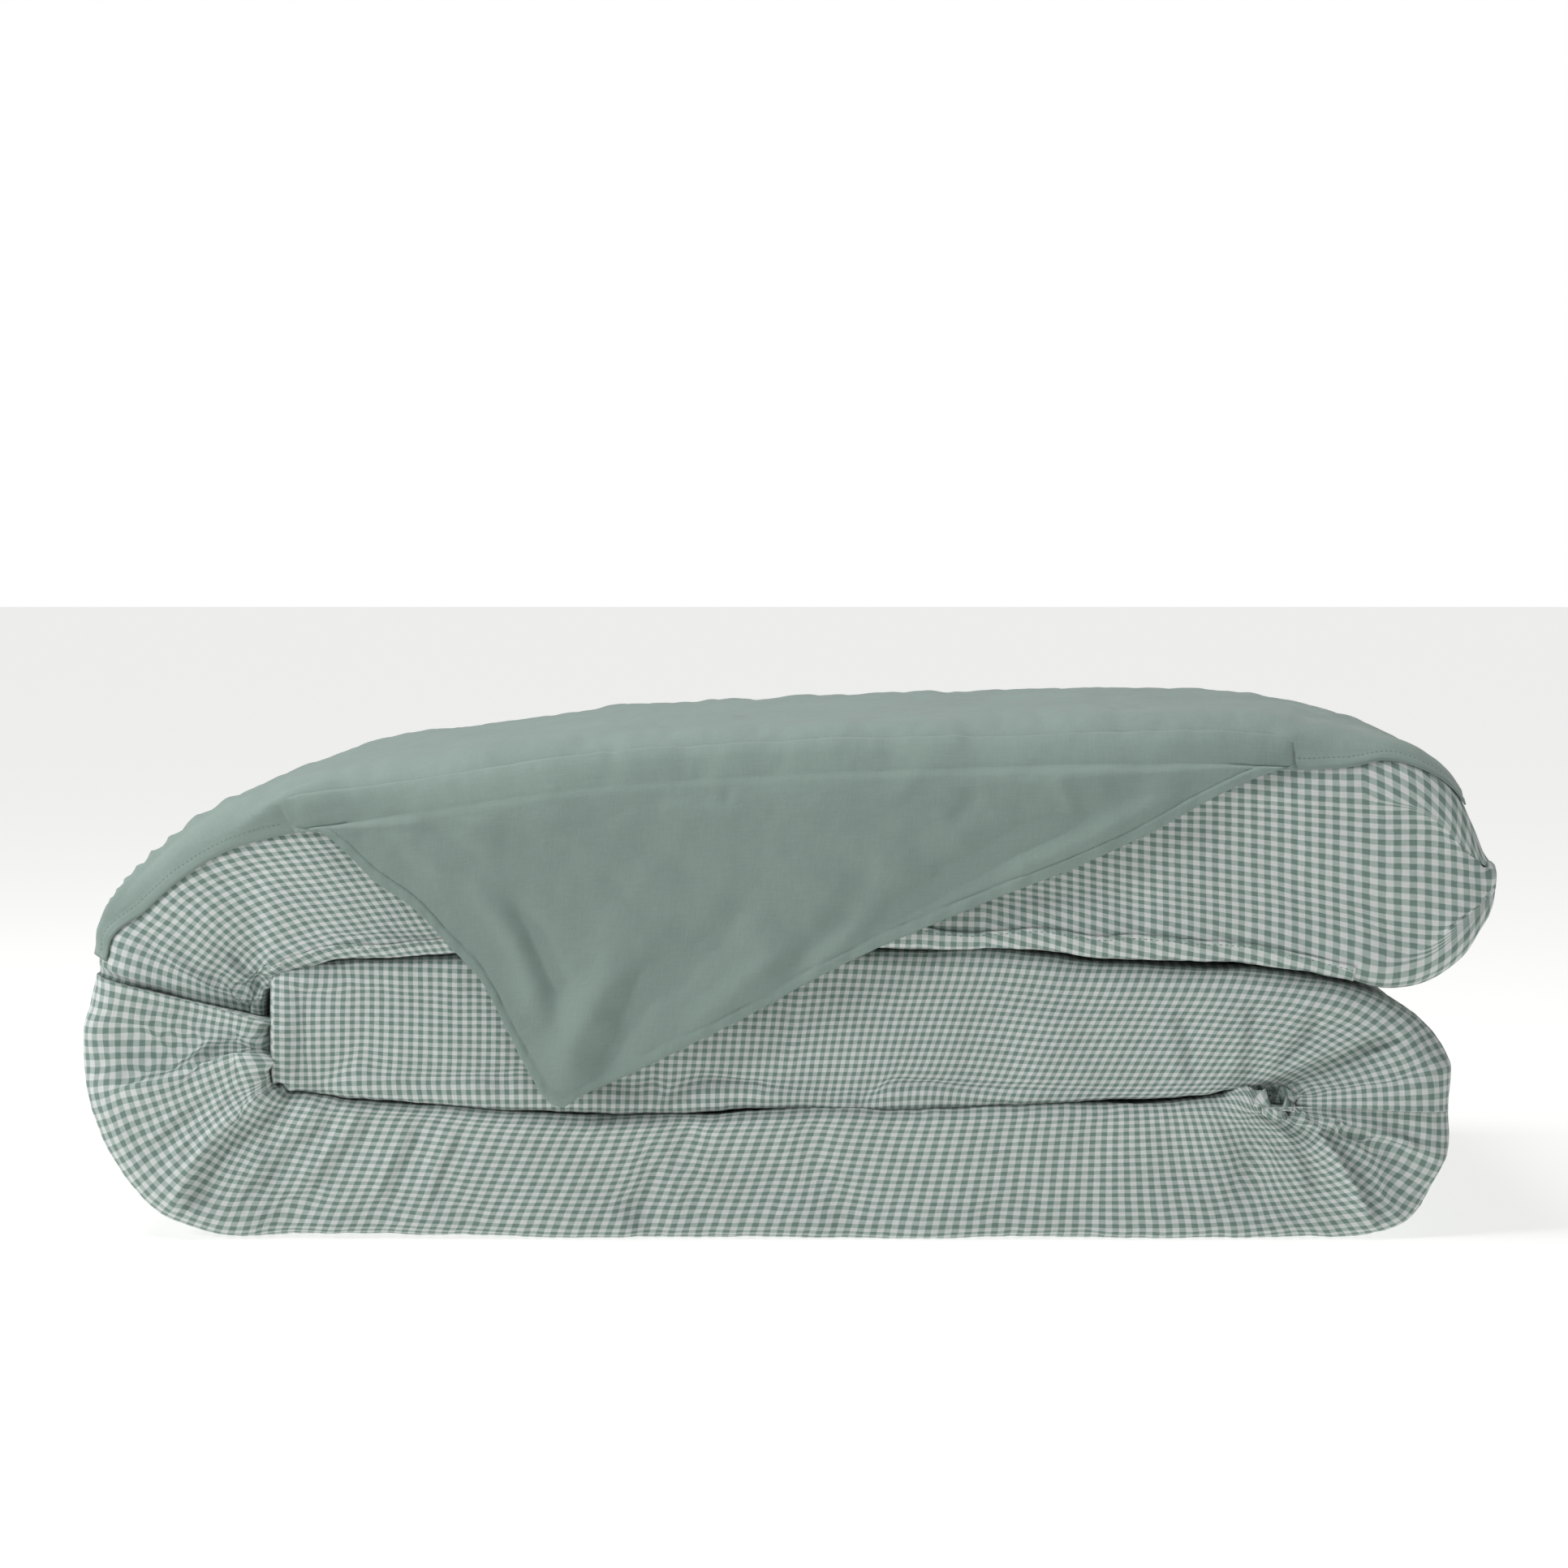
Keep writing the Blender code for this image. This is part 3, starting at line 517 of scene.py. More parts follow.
def simulate(strip, name, cap, quiet_start, quiet_end, calm_back=False):
    """Blows the layer up as a cloth bag and adds how each point moved, up to a cap."""
    coarse = strip.points[::COARSE, ::COARSE]
    n, m = coarse.shape[:2]
    verts = np.concatenate([coarse.reshape(-1, 3), coarse.mean(1)[[0, -1]]])
    faces = grid_faces(n, m, True).tolist()
    faces += [[n * m, (j + 1) % m, j] for j in range(m)]
    faces += [[n * m + 1, (n - 1) * m + j, (n - 1) * m + (j + 1) % m] for j in range(m)]
    mesh = bpy.data.meshes.new(name + "_simulated")
    mesh.from_pydata(verts.tolist(), [], faces)
    obj = add_object(mesh.name, mesh)
    pins = obj.vertex_groups.new(name="pins")
    held = HELD * ease(0.2 - np.abs(coarse[..., 1]), 0.0, 0.06)
    held[: 3 if quiet_start else 2] = 1.0
    held[-3 if quiet_end else -2:] = 1.0
    for i, w in enumerate([*held.ravel(), 1.0, 1.0]):
        if w > 0.01:
            pins.add([i], float(w), "REPLACE")
    cloth = obj.modifiers.new("Cloth", "CLOTH")
    for setting, value in CLOTH_SETTINGS.items():
        setattr(cloth.settings, setting, value)
    cloth.settings.effector_weights.gravity = 0
    cloth.point_cache.frame_start, cloth.point_cache.frame_end = 1, FRAMES
    for f in range(1, FRAMES + 1):
        bpy.context.scene.frame_set(f)
    shown = obj.evaluated_get(bpy.context.evaluated_depsgraph_get())
    co = np.zeros(len(shown.data.vertices) * 3)
    shown.data.vertices.foreach_get("co", co)
    moved = co.reshape(-1, 3)[: n * m].reshape(n, m, 3) - coarse
    size = np.linalg.norm(moved, axis=2, keepdims=True)
    moved = moved * (cap * np.tanh(size / cap) / np.maximum(size, 1e-9))
    bpy.data.objects.remove(obj)
    bpy.context.scene.frame_set(1)
    # Faces against a neighbour, the floor and the split lines stay where they are.
    grown = resample(moved, strip.points.shape[:2]) * ease(np.abs(strip.y), GROWN_FROM, GROWN_FULL)[..., None]
    if calm_back:
        grown = grown * (strip.y < 0)[..., None]
    near_neighbour = 1 - ease(np.minimum(strip.share, 1 - strip.share), 0.02, 0.22)
    grown[..., 2] *= 1 - 0.75 * near_neighbour
    strip.points = strip.points + grown


# ---- meshes from grids


def new_piece(name, verts, faces, material, uv=None):
    mesh = bpy.data.meshes.new(name)
    mesh.from_pydata(np.asarray(verts).tolist(), [], [list(f) for f in faces])
    if uv is not None:
        mesh.uv_layers.new(name="cloth").data.foreach_set("uv", np.asarray(uv, np.float32).ravel())
    mesh.materials.append(material)
    mesh.shade_smooth()
    mesh.update()
    return add_object(name, mesh)


# The steps of an end face towards its middle, as shares of the edge's size and of the bulge.
CAP_STEPS = ((0.994, 0.35), (0.975, 0.75), (0.93, 0.95), (0.8, 1.0), (0.6, 1.0), (0.35, 1.0), (0.1, 1.0))


def padded_piece(strip, name, body, material, caps, nodes):
    """A layer as one closed mesh, with a face at each end."""
    n, m = strip.points.shape[:2]
    verts = [strip.points.reshape(-1, 3)]
    faces = [grid_faces(n, m, True)]
    uv = [grid_uv(np.repeat(strip.u[:, None], m + 1, 1), strip.v, n, m, True)]
    nxt = (np.arange(m) + 1) % m
    offset = n * m
    for row, beside, bulge in ((0, 1, caps[0]), (n - 1, n - 2, caps[1])):
        ring = strip.points[row]
        centre = ring.mean(0)
        outwards = centre - strip.points[beside].mean(0)
        outwards *= bulge / np.linalg.norm(outwards)
        flat = np.stack([strip.a[row] + strip.u[row], strip.y[row]], -1)
        old, old_uv = np.arange(m) + row * m, flat
        for size, rise in CAP_STEPS:
            verts.append(centre + (ring - centre) * size + outwards * rise)
            new, new_uv = np.arange(m) + offset, flat.mean(0) + (flat - flat.mean(0)) * size
            quads = [old, old[nxt], new[nxt], new]
            coords = [old_uv, old_uv[nxt], new_uv[nxt], new_uv]
            if row == 0:
                quads, coords = quads[::-1], coords[::-1]
            faces.append(np.stack(quads, -1))
            uv.append(np.stack(coords, 1))
            old, old_uv = new, new_uv
            offset += m
    obj = new_piece(name, np.concatenate(verts), np.concatenate(faces), material, np.concatenate(uv))
    fill_ends(obj.data)
    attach(obj, body)
    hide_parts(*nodes)


def fill_ends(mesh):
    """Fills the small hole that is left in the middle of each end face."""
    bm = bmesh.new()
    bm.from_mesh(mesh)
    bmesh.ops.holes_fill(bm, edges=[e for e in bm.edges if e.is_boundary], sides=0)
    bmesh.ops.recalc_face_normals(bm, faces=bm.faces)
    for f in bm.faces:
        f.smooth = True
    bm.to_mesh(mesh)
    bm.free()


def sheet_piece(name, points, u, v, thickness, material, nodes, body=None):
    """A thin closed cloth from an open grid, with its underside along the grid's normals."""
    n, m = points.shape[:2]
    down = points - normals(points, False) * thickness
    verts = np.concatenate([points.reshape(-1, 3), down.reshape(-1, 3)])
    top_faces, top_uv = grid_faces(n, m, False), grid_uv(u, v, n, m, False)
    border = np.concatenate([np.arange(m), np.arange(2, n + 1) * m - 1,
                             np.arange((n - 1) * m, n * m - 1)[::-1], np.arange(1, n - 1)[::-1] * m])
    nxt = np.roll(border, -1)
    rim = np.stack([border, border + n * m, nxt + n * m, nxt], -1)
    flat = np.stack([u.ravel(), v.ravel()], -1)
    rim_uv = np.stack([flat[border], flat[border], flat[nxt], flat[nxt]], 1)
    faces = np.concatenate([top_faces, top_faces[:, ::-1] + n * m, rim])
    obj = new_piece(name, verts, faces, material, np.concatenate([top_uv, top_uv[:, ::-1], rim_uv]))
    if body:
        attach(obj, body)
    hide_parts(*nodes)
    return obj


# ---- materials


class Nodes:
    """A short way to write a shader."""

    def __init__(self, name, roughness, sheen=0.0, specular=0.25):
        self.material = bpy.data.materials.new(name)
        self.material.use_nodes = True
        self.tree = self.material.node_tree
        self.shader = self.tree.nodes["Principled BSDF"]
        for socket, value in (("Roughness", roughness), ("Specular IOR Level", specular),
                              ("Sheen Weight", sheen), ("Sheen Roughness", 0.5)):
            self.shader.inputs[socket].default_value = value

    def add(self, kind, inputs=(), **settings):
        node = self.tree.nodes.new(kind)
        for key, value in settings.items():
            setattr(node, key, value)
        for socket, value in dict(inputs).items():
            if isinstance(value, bpy.types.NodeSocket):
                self.tree.links.new(value, node.inputs[socket])
            else:
                node.inputs[socket].default_value = value
        return node

    def math(self, operation, a, b=0.0, c=0.0):
        return self.add("ShaderNodeMath", {0: a, 1: b, 2: c}, operation=operation).outputs[0]

    def spread(self, value, low, high, to_low=0.0, to_high=1.0):
        sockets = {0: value, 1: low, 2: high, 3: to_low, 4: to_high}
        return self.add("ShaderNodeMapRange", sockets).outputs[0]

    def shaded(self, colour, level):
        """A colour times a grey level."""
        grey = self.add("ShaderNodeCombineColor", {0: level, 1: level, 2: level}).outputs[0]
        sockets = {0: 1.0, 6: colour, 7: grey}
        return self.add("ShaderNodeMix", sockets, data_type="RGBA", blend_type="MULTIPLY").outputs[2]

    def cloth(self):
        """The cloth's own coordinates in metres, as u and v."""
        uv = self.add("ShaderNodeUVMap", uv_map="cloth").outputs[0]
        parts = self.add("ShaderNodeSeparateXYZ", {0: uv})
        return uv, parts.outputs[0], parts.outputs[1]

    def noise(self, vector, scale, detail=2.0, stretch=(1, 1, 1)):
        mapped = self.add("ShaderNodeMapping", {0: vector, 3: stretch}).outputs[0]
        return self.add("ShaderNodeTexNoise", {"Vector": mapped, "Scale": scale, "Detail": detail}).outputs[0]

    def finish(self, colour, height, strength, distance):
        self.tree.links.new(colour, self.shader.inputs["Base Color"])
        bump = self.add("ShaderNodeBump", {"Height": height, "Strength": strength, "Distance": distance})
        self.tree.links.new(bump.outputs[0], self.shader.inputs["Normal"])
        return self.material


def srgb(r, g, b):
    channels = (c / 255 for c in (r, g, b))
    return tuple(((c + 0.055) / 1.055) ** 2.4 if c > 0.0404 else c / 12.92 for c in channels) + (1.0,)


THREAD_PITCH = 0.0005
WEAVE_RELIEF, TAPE_RELIEF = 0.0005, 0.0004


def stripe(nodes, coordinate, softness=0.035):
    """1 on the dyed half of each stripe and 0 on the pale half, with a soft thread-wide edge."""
    phase = nodes.math("FRACT", nodes.math("DIVIDE", coordinate, CHECK))
    fold = nodes.math("ABSOLUTE", nodes.math("SUBTRACT", phase, 0.5))
    return nodes.spread(fold, 0.25 - softness, 0.25 + softness)


def threads(nodes, u, v):
    """A plain weave of crossing threads as a height between 0 and 1."""
    a, b = (nodes.math("SINE", nodes.math("MULTIPLY", c, 2 * math.pi / THREAD_PITCH)) for c in (u, v))
    return nodes.math("MULTIPLY_ADD", nodes.math("MULTIPLY", a, b), 0.5, 0.5)


def woven(n, uv, weave, colour, slub, tones, cloud, relief, strength):
    """Uneven threads and soft clouds over a colour, and their relief."""
    scale, detail, thin = slub
    slubs = n.math("ADD", *(n.noise(uv, scale, detail, way) for way in ((thin, 1, 1), (1, thin, 1))))
    level = n.math("MULTIPLY", n.spread(slubs, 0.6, 1.4, *tones),
                   n.spread(n.noise(uv, *cloud[:2]), 0.3, 0.7, *cloud[2:]))
    slub_height, weave_height, rumple_height, rumple_scale, rumple_detail = relief
    rumple = n.math("MULTIPLY", n.noise(uv, rumple_scale, rumple_detail), rumple_height)
    rest = n.math("ADD", n.math("MULTIPLY", weave, weave_height), rumple)
    height = n.math("ADD", n.math("MULTIPLY", slubs, slub_height), rest)
    return n.finish(n.shaded(colour, level), height, strength, WEAVE_RELIEF)


def make_gingham(pale, between, dyed):
    n = Nodes("gingham_cotton", 0.88, sheen=0.18, specular=0.2)
    uv, u, v = n.cloth()
    shift = n.math("MULTIPLY", n.math("SUBTRACT", n.noise(uv, 160.0, 1.0), 0.5), 0.0007)
    warp, weft = (stripe(n, n.math("ADD", c, shift)) for c in (u, v))
    weave = threads(n, u, v)
    # Where the two colours cross, the weave shows a little more of one thread or the other.
    total = n.math("ADD", warp, weft)
    lean = n.math("MULTIPLY", n.math("SUBTRACT", weave, 0.5), 0.16)
    uneven = n.math("ABSOLUTE", n.math("SUBTRACT", warp, weft))
    level = n.math("MULTIPLY_ADD", lean, uneven, n.math("MULTIPLY", total, 0.5))
    ramp = n.add("ShaderNodeValToRGB", {0: level})
    stops = ramp.color_ramp.elements
    stops[0].position, stops[0].color = 0.0, pale
    stops[1].position, stops[1].color = 1.0, dyed
    stops.new(0.5).color = between
    return woven(n, uv, weave, ramp.outputs[0], (900.0, 1.0, 0.12), (0.93, 1.06), (14.0, 3.0, 0.965, 1.03),
                 (0.9, 0.35, 1.2, 260.0, 2.0), 0.3)


def make_plain_cloth(name, colour, sheen, strength, uneven=0.05, rough=0.85):
    n = Nodes(name, rough, sheen=sheen)
    uv, u, v = n.cloth()
    return woven(n, uv, threads(n, u, v), colour, (800.0, 2.0, 0.1), (1 - uneven, 1 + uneven),
                 (11.0, 4.0, 0.955, 1.04), (1.0, 0.4, 1.6, 210.0, 3.0), strength)


def make_object_space(name, colour, roughness, scale, strength, uneven, sheen=0.0):
    """A finish for small pieces that have no cloth coordinates."""
    n = Nodes(name, roughness, sheen=sheen, specular=0.3)
    grain = n.noise(n.add("ShaderNodeTexCoord").outputs["Object"], scale, 3.0)
    tone = n.spread(grain, 0.3, 0.7, 1 - uneven, 1 + uneven)
    return n.finish(n.shaded(colour, tone), grain, strength, TAPE_RELIEF)


GINGHAM = make_gingham(srgb(207, 210, 209), srgb(163, 178, 173), srgb(113, 133, 127))
SAGE = make_plain_cloth("sage_cotton", srgb(129, 146, 140), 0.22, 0.3)
COTTON = make_plain_cloth("insert_cotton", srgb(232, 230, 224), 0.1, 0.3)
TAPE = make_object_space("cotton_tape", srgb(214, 217, 212), 0.85, 1800.0, 0.5, 0.06, 0.2)
THREAD = make_object_space("sewing_thread", srgb(126, 142, 136), 0.7, 2500.0, 0.4, 0.05, 0.2)
FIBRE = make_object_space("hollow_fibre", srgb(240, 239, 235), 0.95, 420.0, 0.9, 0.05, 0.3)
STUD = make_object_space("stud_plastic", srgb(214, 216, 212), 0.38, 900.0, 0.08, 0.02)
LABEL = make_plain_cloth("label_satin", srgb(235, 234, 230), 0.3, 0.12, 0.03, 0.45)


# ---- the three layers

TOP_TILT = 0.17
bottom, middle = Strip(BOTTOM_KEYS, BOTTOM_FORM), Strip(MIDDLE_KEYS, MIDDLE_FORM)
top = Strip(TOP_KEYS, TOP_FORM, TOP_TILT)
# The checks run on from layer to layer through both folds.
bottom.u = bottom.u - bottom.u[0]
top.u = -top.u
middle.u = middle.u[-1] - middle.u + bottom.u[-1]

simulate(bottom, "bottom", 0.0045, True, True)
simulate(middle, "middle", 0.004, False, True)
simulate(top, "top", 0.0045, True, False, calm_back=True)

shape_layer(bottom, 11, True, True)
shape_layer(middle, 23, False, True)
shape_layer(top, 37, True, False, calm_back=True)


def crown(strip):
    """The top face rises a little towards its middle."""
    p = strip.points
    lift = 0.004 * (1 - (p[..., 1] / HALF_DEPTH) ** 2) * ease(np.clip(strip.share, 0, 1), 0.5, 1.0)
    p[..., 2] += lift * ease(p[..., 0], -0.4, -0.25) * (1 - ease(p[..., 0], 0.34, 0.42))


crown(top)

SPLIT_CAP = -0.0004  # the faces at a fold's split are nearly flat, so that they clear each other
for strip, layer, caps, nodes in (
    (bottom, "bottom", (SPLIT_CAP, SPLIT_CAP), ["bottom_cover"]),
    (middle, "middle", (0.003, SPLIT_CAP), ["middle_cover", "middle_end_seam"]),
    (top, "top", (SPLIT_CAP, 0.001), ["top_cover", "top_end_seam"]),
):
    padded_piece(strip, f"{layer}_quilted_layer", f"{layer}_layer", GINGHAM, caps, nodes)


# ---- the inserts inside the covers


def inner_piece(keys, form, layer, kind, inset, first, last, material, slot):
    """A plain bag inside a layer, set in from its skin, between two places along the strip."""
    strip = Strip(keys, form)
    k = np.arange(np.searchsorted(strip.s, first), np.searchsorted(strip.s, strip.s[-1] - last), COARSE)
    strip.s, strip.ends, strip.form = strip.s[k], strip.ends[k], strip.form[k].copy()
    inner, outer = strip.ends[:, :2].copy(), strip.ends[:, 2:].copy()
    way = (outer - inner) / np.hypot(*(outer - inner).T)[:, None]
    strip.ends[:, :2], strip.ends[:, 2:] = inner + way * inset, outer - way * inset
    strip.form[:, 0] -= inset
    strip.build()
    ripple = 0.0012 * noise(strip.u[:, None] / 0.05, strip.v[:, :-1] / 0.06, 91)
    strip.points = strip.points + normals(strip.points) * ripple[..., None]
    padded_piece(strip, f"{layer}_insert_{kind}", f"{layer}_layer", material, (0.001, 0.001),
                 [f"{layer}_{slot}"])


INSERT_LAST, FILL_INSET = 0.03, 0.006
for layer, keys, form, first in (
    ("bottom", BOTTOM_KEYS, BOTTOM_FORM, 0.034),
    ("middle", MIDDLE_KEYS, MIDDLE_FORM, 0.02),
    ("top", TOP_KEYS, TOP_FORM, 0.034),
):
    for kind, inset, short, material, slot in (
        ("bag", 0.0135, 0.0, COTTON, "insert_shell"),
        ("filling", 0.0185, FILL_INSET, FIBRE, "fill"),
    ):
        inner_piece(keys, form, layer, kind, inset, first + short, INSERT_LAST + short, material, slot)


# ---- the sage top sheet


def on_ring(strip, stations, places, lift):
    """A grid of points that lies on a layer, between places given for each station."""
    n, samples = normals(strip.points), np.arange(RING_COUNT)
    points, us, vs = [], [], []
    for k, row in zip(stations, places):
        points.append(read_rows(row, samples, strip.points[k]) + read_rows(row, samples, n[k]) * lift)
        vs.append(np.interp(row, np.arange(RING_COUNT + 1), strip.v[k]))
        us.append(np.full(len(row), strip.u[k]))
    return np.array(points), np.array(us), np.array(vs)


STITCH_SIDES = 5
# The rings of one stitch: the place along it, and its size and rise as shares of the radius.
STITCH_RINGS = ((0.0, 0.35, -0.4), (0.3, 1.0, 0.4), (0.7, 1.0, 0.4), (1.0, 0.35, -0.4))


def stitches(name, line, out, body, pitch=0.0031, length=0.0021, radius=0.0003):
    """Short raised threads along a line, each one lying on the cloth."""
    line, out = np.asarray(line, float), np.asarray(out, float)
    place = path_length(line)
    turn = 2 * math.pi * np.arange(STITCH_SIDES)[:, None] / STITCH_SIDES
    ends = [list(range(STITCH_SIDES))[::-1], [3 * STITCH_SIDES + q for q in range(STITCH_SIDES)]]
    one = grid_faces(len(STITCH_RINGS), STITCH_SIDES, True).tolist() + ends
    verts, faces = [], []
    for start in np.arange(0, place[-1] - length, pitch):
        a, c = read_rows(start, place, line), read_rows(start + length, place, line)
        up = read_rows(start, place, out)
        up /= np.linalg.norm(up)
        side = np.cross((c - a) / np.linalg.norm(c - a), up)
        faces += [[len(verts) + corner for corner in face] for face in one]
        for share, size, rise in STITCH_RINGS:
            around = (side * np.cos(turn) + up * np.sin(turn)) * size + up * rise
            verts.extend(a + (c - a) * share + around * radius)
    obj = new_piece(name, verts, faces, THREAD)
    if body:
        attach(obj, body)
    return obj


def from_edge(grid):
    """Distance of each point of a grid from the grid's first column, along the cloth."""
    return np.cumsum(np.linalg.norm(np.diff(grid, axis=1, prepend=grid[:, :1]), axis=2), 1)


HEM = 0.0075


def hem_relief(distance, rise, sink, hem=HEM, before=0.001, after=0.001, width=0.001):
    """The doubled cloth of a hem, and the groove that its stitches pull in."""
    doubled = rise * (1 - ease(distance, hem - before, hem + after))
    return doubled - sink * np.exp(-(((distance - hem) / width) ** 2))


def hem_line(grid, dist, where):
    """The points of a grid at the hem's distance from its edge, for the stations that are asked for."""
    return np.array([read_rows(HEM, dist[k], grid[k]) for k in where])


# How far the sage sheet comes down the front from the outer edge, along the top strip.
SHEET_DROP = curve([(0, 0.009), (1, 0.011), (2, 0.015), (3, 0.0185), (4, 0.0215), (5, 0.026), (6, 0.028),
                    (7, 0.026), (9, 0.024), (14, 0.024), (15, 0.025), (16, 0.0195), (17, 0.0115), (18, 0.0095),
                    (19, 0.0075), (20, 0.006), (21, 0.005), (22, 0.005)])
SHEET_COLUMNS, SHEET_LIFT, SHEET_THICKNESS = 120, 0.0026, 0.0011
SHEET_FROM, SHEET_END = 0.45, 19.6  # where the sheet starts and stops along the top strip's keys
sheet_stations = np.flatnonzero((top.key >= SHEET_FROM) & (top.key <= SHEET_END))


def sheet_over_top():
    """The cloth that lies over the top layer, as a grid of stations by points across."""
    drop = SHEET_DROP(top.key)
    front, back = np.arange(FRONT_FIRST, OUTER_FIRST + 1), np.arange(BACK_TURN, BACK_END)
    share = np.linspace(0, 1, SHEET_COLUMNS)
    share = 0.45 * share**1.6 + 0.35 * share + 0.2 * (1 - (1 - share) ** 1.6)
    places = []
    for k in sheet_stations:
        edge = top.length[k] - min(drop[k], 0.9 * top.length[k])
        first = np.interp(edge, top.a[k, front], front)
        last = np.interp(-edge - 0.004, -top.a[k, back], back)
        places.append(first + (last - first) * share)
    return on_ring(top, sheet_stations, places, SHEET_LIFT)


sheet, sheet_u, sheet_v = sheet_over_top()
sheet_n = normals(sheet, False)
sheet_x = sheet[..., 0]
across = from_edge(sheet)
across_back = across[:, -1:] - across
near_edge = np.minimum(across, across_back)
folds = 0.0018 * noise(sheet_u / 0.055, across / 0.09, 71)
folds += 0.0014 * np.abs(noise(sheet_u / 0.026, across / 0.07, 72))
folds += 0.0005 * noise(sheet_u / 0.011, across / 0.02, 73)
# On the left end the sheet is drawn up into a few long, soft folds.
left_gather = ease(-sheet_x, 0.24, 0.33) * ease(sheet[..., 2], 0.165, 0.2)
pull = (across - 0.35 * np.abs(sheet_u - sheet_u[0])) / 0.021
for height, ridge, edge in ((0.0065, noise(pull, sheet_u / 0.09, 74), across),
                            (0.0025, noise(across_back / 0.024, sheet_u / 0.08, 75), across_back)):
    folds += height * left_gather * (1 - np.abs(ridge)) ** 2 * (1 - ease(edge, 0.03, 0.09))
FLAP_LEFT, FLAP_RIGHT = -0.3045, 0.312
FLAP_START = 0.022  # the flap leaves the sheet this far in from the sheet's front edge
EDGE = 0.001  # how far past the flap's ends the sheet's own edge is hidden
covered = ease(sheet_x, FLAP_LEFT - EDGE, FLAP_LEFT + 0.006)
covered = covered * (1 - ease(sheet_x, FLAP_RIGHT - 0.006, FLAP_RIGHT + EDGE)) * (across < 0.03)
rise = np.maximum(folds, -0.0006) * ease(near_edge, 0.0, 0.022)
rise += hem_relief(near_edge, 0.0008, 0.0006) * (1 - covered)
rise -= 0.0014 * (1 - covered) * (1 - ease(near_edge, 0.004, 0.03))
outer_sheet = sheet + sheet_n * rise[..., None]
dip = 0.0016 * covered * (1 - ease(across, FLAP_START - 0.014, FLAP_START - 0.0095))
sheet = outer_sheet - sheet_n * dip[..., None]
piece_sheet = sheet_piece("sage_top_sheet", sheet, sheet_u, sheet_v, SHEET_THICKNESS, SAGE,
                          ["sage_top_panel"], "top_layer")

new_n = normals(sheet, False)
inside = np.arange(2, len(sheet) - 2)
edge_x = sheet[inside, 0, 0]
sheet_stitches = [
    stitches(f"sheet_stitches_{label}", hem_line(sheet, across, where), new_n[where, 4], "top_layer")
    for label, where in (("left", inside[edge_x < FLAP_LEFT - EDGE]),
                         ("right", inside[edge_x > FLAP_RIGHT + EDGE]))
]
back_line = hem_line(sheet[:, ::-1], across_back[:, ::-1], inside)
sheet_stitches.append(stitches("sheet_stitches_back", back_line, new_n[inside, -5], "top_layer"))


# ---- the seam band on the front

BAND_FROM, BAND_TO = -0.316, 0.352
BAND_LOW, BAND_HIGH, BAND_ROWS, BAND_SEAM = 0.01, 0.0235, 12, 9
BAND_LIFT, BAND_THICKNESS = 0.0013, 0.001


def seam_band():
    """The stitched band along the lower front edge of the top layer."""
    where = [k for k in range(len(top.s)) if BAND_FROM < top.ends[k, 0] < BAND_TO]
    front = np.arange(INNER_HALF, OUTER_FIRST)
    places = []
    for k in where:
        x = top.ends[k, 0]
        high = BAND_HIGH + 0.0012 * math.sin(x * 37) + 0.0008 * math.sin(x * 91)
        arc = path_length(top.points[k, front])
        places.append(np.interp(np.linspace(BAND_LOW, high, BAND_ROWS), arc, front))
    band, u, v = on_ring(top, where, places, BAND_LIFT)
    n = normals(band, False)
    wide = from_edge(band)
    lip = 0.0004 * noise(u / 0.012, wide / 0.01, 61) + 0.0007 * ease(wide, wide[:, -1:] * 0.75, wide[:, -1:])
    band = band + n * lip[..., None]
    piece = sheet_piece("front_seam_cloth", band, u, v + 0.003, BAND_THICKNESS, GINGHAM,
                        ["front_seam_band"], "top_layer")
    sewn = stitches("front_seam_stitches", band[:, BAND_SEAM] + n[:, BAND_SEAM] * 0.0001, n[:, BAND_SEAM],
                    "top_layer", pitch=0.0036, length=0.0022, radius=0.00026)


seam_band()


# ---- the corner flap

FLAP_EDGE = np.array([(-0.3045, 0.2555), (-0.288, 0.2525), (-0.274, 0.2415), (-0.257, 0.2245), (-0.228, 0.2035),
                      (-0.209, 0.1825), (-0.192, 0.165), (-0.173, 0.13), (-0.157, 0.1), (-0.1475, 0.087),
                      (-0.14, 0.0835), (-0.13, 0.0895), (-0.104, 0.101), (-0.065, 0.12), (-0.013, 0.1465),
                      (0.028, 0.169), (0.085, 0.1945), (0.127, 0.212), (0.174, 0.2305), (0.214, 0.2485),
                      (0.25, 0.268), (0.286, 0.2855), (0.312, 0.294)])


